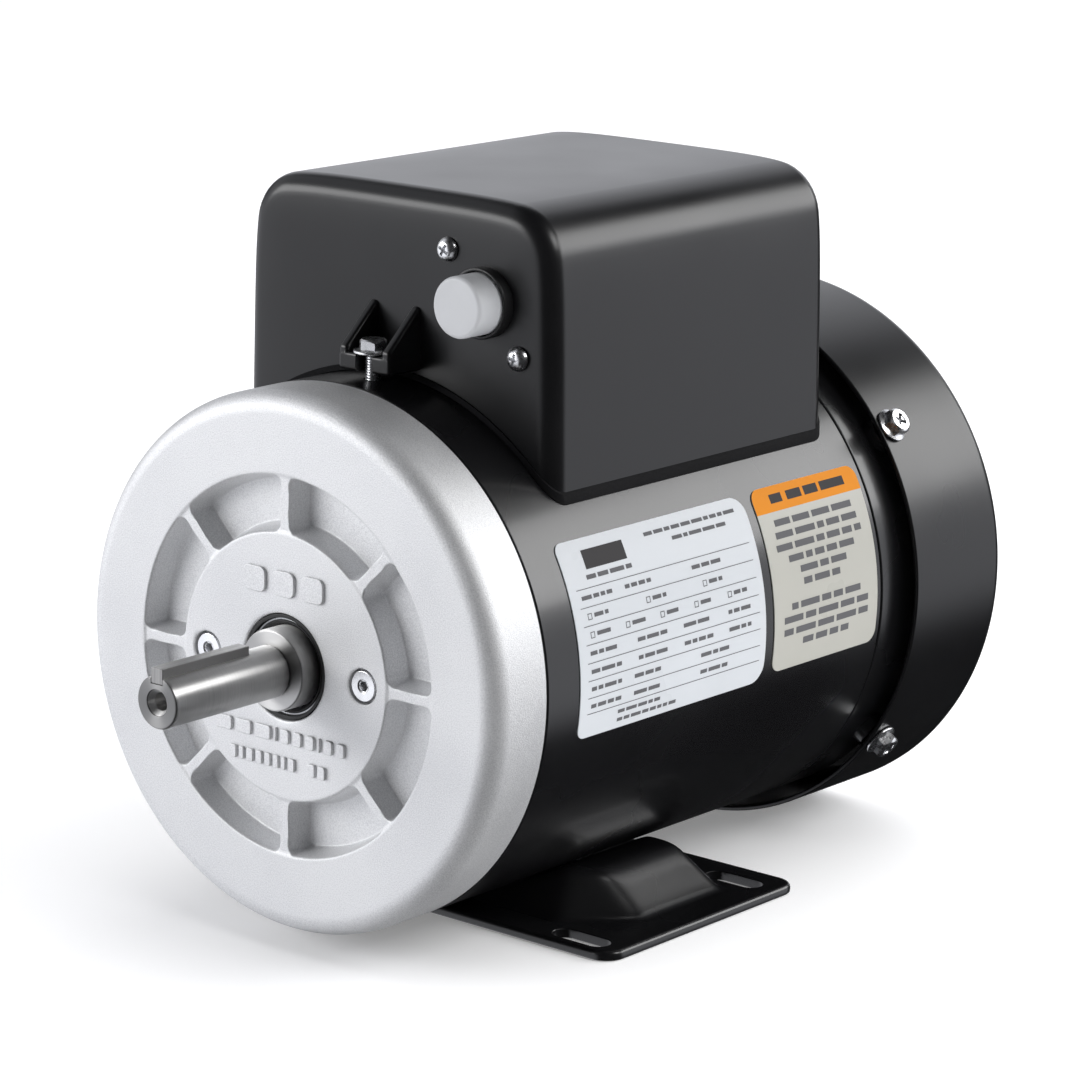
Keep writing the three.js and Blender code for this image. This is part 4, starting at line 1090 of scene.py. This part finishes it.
def rating_label():
    base = curved_patch(*RATING, LABEL_THICK, (3.0, 6.0))
    publish(base, "rating_plate_film", SILVER_FILM, ["rating_label"], angle=30)
    rng = random.Random(11)
    block = label_rect(RATING, 10.5, 29.5, 3.6, 9.4)
    publish(block, "rating_plate_block", DARK_INK, angle=30)
    ink = text_bars(RATING, rng, 9.5, 30.5, 11.0, 1.5)
    ink += text_bars(RATING, rng, 40, 84, 3.4, 1.3)
    ink += text_bars(RATING, rng, 52, 80, 6.6, 1.3)
    rules = [14.6, 20.0, 25.4, 30.8, 36.2, 41.4, 46.6, 51.4]
    for v in rules:
        ink.append(label_rect(RATING, 3.5, 86.5, v, v + 0.22))
    for row, v in enumerate(rules[:-1]):
        text_v = v + 1.9
        if row in (1, 2):
            boxes = 3 if row == 1 else 5
            for k in range(boxes):
                u = 6 + k * (82 / boxes)
                for a, b, c, d in TICK_BOX:
                    ink.append(label_rect(RATING, u + a, u + b, text_v + c, text_v + d))
                ink += text_bars(RATING, rng, u + 3, u + 9.5, text_v + 0.2, 1.35)
        else:
            columns = (4, 26, 48, 70) if row in (3, 4) else (4, 24, 56)
            for u, after in zip(columns, (*columns[1:], 86)):
                ink += text_bars(RATING, rng, u + 1, min(after - 4, u + 15), text_v + 0.2, 1.35)
    for v, end in ((53.0, 38), (55.6, 46)):
        ink += text_bars(RATING, rng, 18, end, v, 1.2)
    publish(merged(ink), "rating_plate_print", GREY_INK, angle=30)


def notice_label():
    base = curved_patch(*NOTICE, LABEL_THICK, (4.0, 4.0))
    publish(base, "notice_plate_film", CREAM_FILM, ["notice_label"], angle=30)
    header = curved_patch(*NOTICE[:3], 25.4, LABEL_R + LABEL_THICK, 0.03)
    combine(header, curved_patch(*NOTICE[:4], 80, 6, (4.0, 4.0)), "INTERSECT")
    publish(header, "notice_plate_header", ORANGE_INK, angle=30)
    rng = random.Random(5)
    words = ((8.5, 14.5), (17, 24.5), (26, 33), (34.5, 47))
    blocks = [label_rect(NOTICE, u0, u1, 2.6, 5.5) for u0, u1 in words]
    publish(merged(blocks), "notice_plate_blocks", DARK_INK, angle=30)
    ink = []
    for first_v, widths in ((10.6, (40, 42, 44, 34, 24, 22)), (37.0, (36, 44, 44, 24))):
        for k, width in enumerate(widths):
            ink += text_bars(NOTICE, rng, 27 - width / 2, 27 + width / 2, first_v + k * 3.9, 2.3)
    publish(merged(ink), "notice_plate_print", GREY_INK, angle=30)


for build in (
    end_shield, raised_marks, shaft_and_key, seal, shell, rear_shield, cowl, cowl_screws, fan, foot,
    capacitor_box, gasket, box_bolts, reset_button, button_shade_collar, reset_spring, pan_screws, cable_gland,
    rating_label, notice_label, flat_screws,
):
    build()


# ---------------- carried-over CAD nodes

CARRIED = {
    BEARING: [
        f"{end}_bearing_{part}" for end in ("drive", "rear") for part in ("outer_race", "inner_race", "balls")
    ],
    CAST: ["bearing_cap"],
    RUBBER: ["lead_grommet"],
    STEEL_STACK: ["stator_core", "rotor_core"],
    COPPER: ["main_winding", "start_winding"],
    ROTOR_CAST: ["rotor_cage"],
    SPRING: ["governor_plate", "wave_spring", "fan_clip", "capacitor_strap"],
    ZINC: ["governor_weight_right", "governor_weight_left", *(f"through_bolt_{k}" for k in range(1, 5))],
    PHENOLIC: ["governor_collar", "switch_plate", "terminal_board"],
    BRASS: ["switch_arm", "terminal_stud_1", "terminal_stud_2"],
    PLASTIC: ["overload_protector"],
    CASE: ["start_capacitor"],
    CAN: ["run_capacitor"],
    GREY: ["capacitor_cradle"],
}
for material, names in CARRIED.items():
    for name in names:
        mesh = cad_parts[name].data
        mesh.materials.clear()
        mesh.materials.append(material)


# ---------------- floor, light and camera

FLOOR_SIZE = 16
FLOOR_DROP = 0.0002
FLOOR_GLOW = 0.22

floor_material, floor_shader = new_material("pale_floor", (0.86, 0.86, 0.87), 0.7)
floor_tone = noise(coordinates(floor_shader), 3.0, 2, 0.5)
tint(floor_shader, floor_tone, 0.3, (0.85, 0.85, 0.86), 0.7, (0.87, 0.87, 0.88))
feed(floor_shader, {"Emission Color": (1, 1, 1, 1), "Emission Strength": FLOOR_GLOW})
floor_bm = bmesh.new()
bmesh.ops.create_grid(floor_bm, x_segments=1, y_segments=1, size=FLOOR_SIZE / 2)
floor = object_from(floor_bm, "floor")
floor.location.z = -FLOOR_DROP
floor.data.materials.append(floor_material)
floor.visible_glossy = False

# Each panel: direction, angle where it is full, angle where it ends, level.
PANELS = (
    ((0.62, 0.76, -0.05), 13, 25, 1.2),
    ((-0.50, 0.80, 0.35), 22, 33, 1.15),
    ((-0.66, -0.72, -0.22), 22, 48, 1.15),
    ((-0.92, -0.10, -0.50), 20, 42, 1.0),
    ((-0.80, -0.20, 0.45), 16, 40, 0.7),
)
DARK_LEVEL = 0.02


def studio_world():
    """A dark studio with pale, soft-edged panels round the motor."""
    world = bpy.data.worlds.new("studio")
    bpy.context.scene.world = world
    world.use_nodes = True
    background = world.node_tree.nodes["Background"]
    direction = node(background, "TexCoord", {}).outputs["Generated"]
    total = DARK_LEVEL
    for axis, inner, outer, level in PANELS:
        inputs = {0: direction, 1: Vector(axis).normalized()}
        facing = node(background, "VectorMath", inputs, operation="DOT_PRODUCT").outputs["Value"]
        edges = (math.cos(math.radians(degrees)) for degrees in (outer, inner))
        panel = spread(facing, *edges, 0, level, interpolation_type="SMOOTHSTEP")
        total = node(panel, "Math", {0: total, 1: panel}, operation="MAXIMUM").outputs[0]
    feed(background, {"Color": (0.93, 0.945, 1, 1), "Strength": total})


LIGHT_TARGET = Vector((0, 0, 0.11))


def softbox(name, direction, distance, width, height, radiance):
    """A rectangular light that faces the motor from a direction, by the radiance of its face."""
    light = bpy.data.lights.new(name, "AREA")
    light.shape = "RECTANGLE"
    light.size = width
    light.size_y = height
    light.energy = radiance * math.pi * width * height
    obj = bpy.data.objects.new(name, light)
    obj.location = LIGHT_TARGET + Vector(direction).normalized() * distance
    obj.rotation_mode = "QUATERNION"
    obj.rotation_quaternion = (LIGHT_TARGET - obj.location).to_track_quat("-Z", "Y")
    root.objects.link(obj)


studio_world()
softbox("key_left", (-0.70, -0.72, 0.36), 2.2, 1.6, 0.8, 6.0)
softbox("rear_right", (0.53, 0.75, 0.38), 2.2, 1.75, 0.9, 5.5)
softbox("side_fill", (0.95, 0.25, 0.75), 2.4, 0.9, 0.9, 8.0)

sun = bpy.data.lights.new("floor_light", "SUN")
sun.energy = 2.0
sun.angle = math.radians(70)
sun_object = bpy.data.objects.new("floor_light", sun)
sun_object.rotation_euler = (math.radians(-14), math.radians(8), 0)
root.objects.link(sun_object)
floor_only = bpy.data.collections.new("floor_only")
floor_only.objects.link(floor)
sun_object.light_linking.receiver_collection = floor_only

CAMERA_ANGLES = (39.63, 13.59, 0.93)
CAMERA_TARGET = Vector((25.47, 140.0, 27.69))
CAMERA_DISTANCE = 1.2783
camera_data = bpy.data.cameras.new("camera")
camera_data.sensor_width = 36
camera_data.lens = 139.27
camera_data.clip_end = 50
camera = bpy.data.objects.new("camera", camera_data)
root.objects.link(camera)
azimuth, elevation, roll = (math.radians(v) for v in CAMERA_ANGLES)
back = Vector((
    math.sin(azimuth) * math.cos(elevation),
    -math.cos(azimuth) * math.cos(elevation),
    math.sin(elevation),
))
side = Vector((0, 0, 1)).cross(back).normalized()
upward = back.cross(side)
tilted_side = side * math.cos(roll) + upward * math.sin(roll)
tilted_up = upward * math.cos(roll) - side * math.sin(roll)
matrix = Matrix((tilted_side, tilted_up, back)).transposed().to_4x4()
matrix.translation = TO_ROW @ CAMERA_TARGET + back * CAMERA_DISTANCE
camera.matrix_world = matrix
bpy.context.scene.camera = camera
bpy.context.scene.view_settings.view_transform = "Standard"
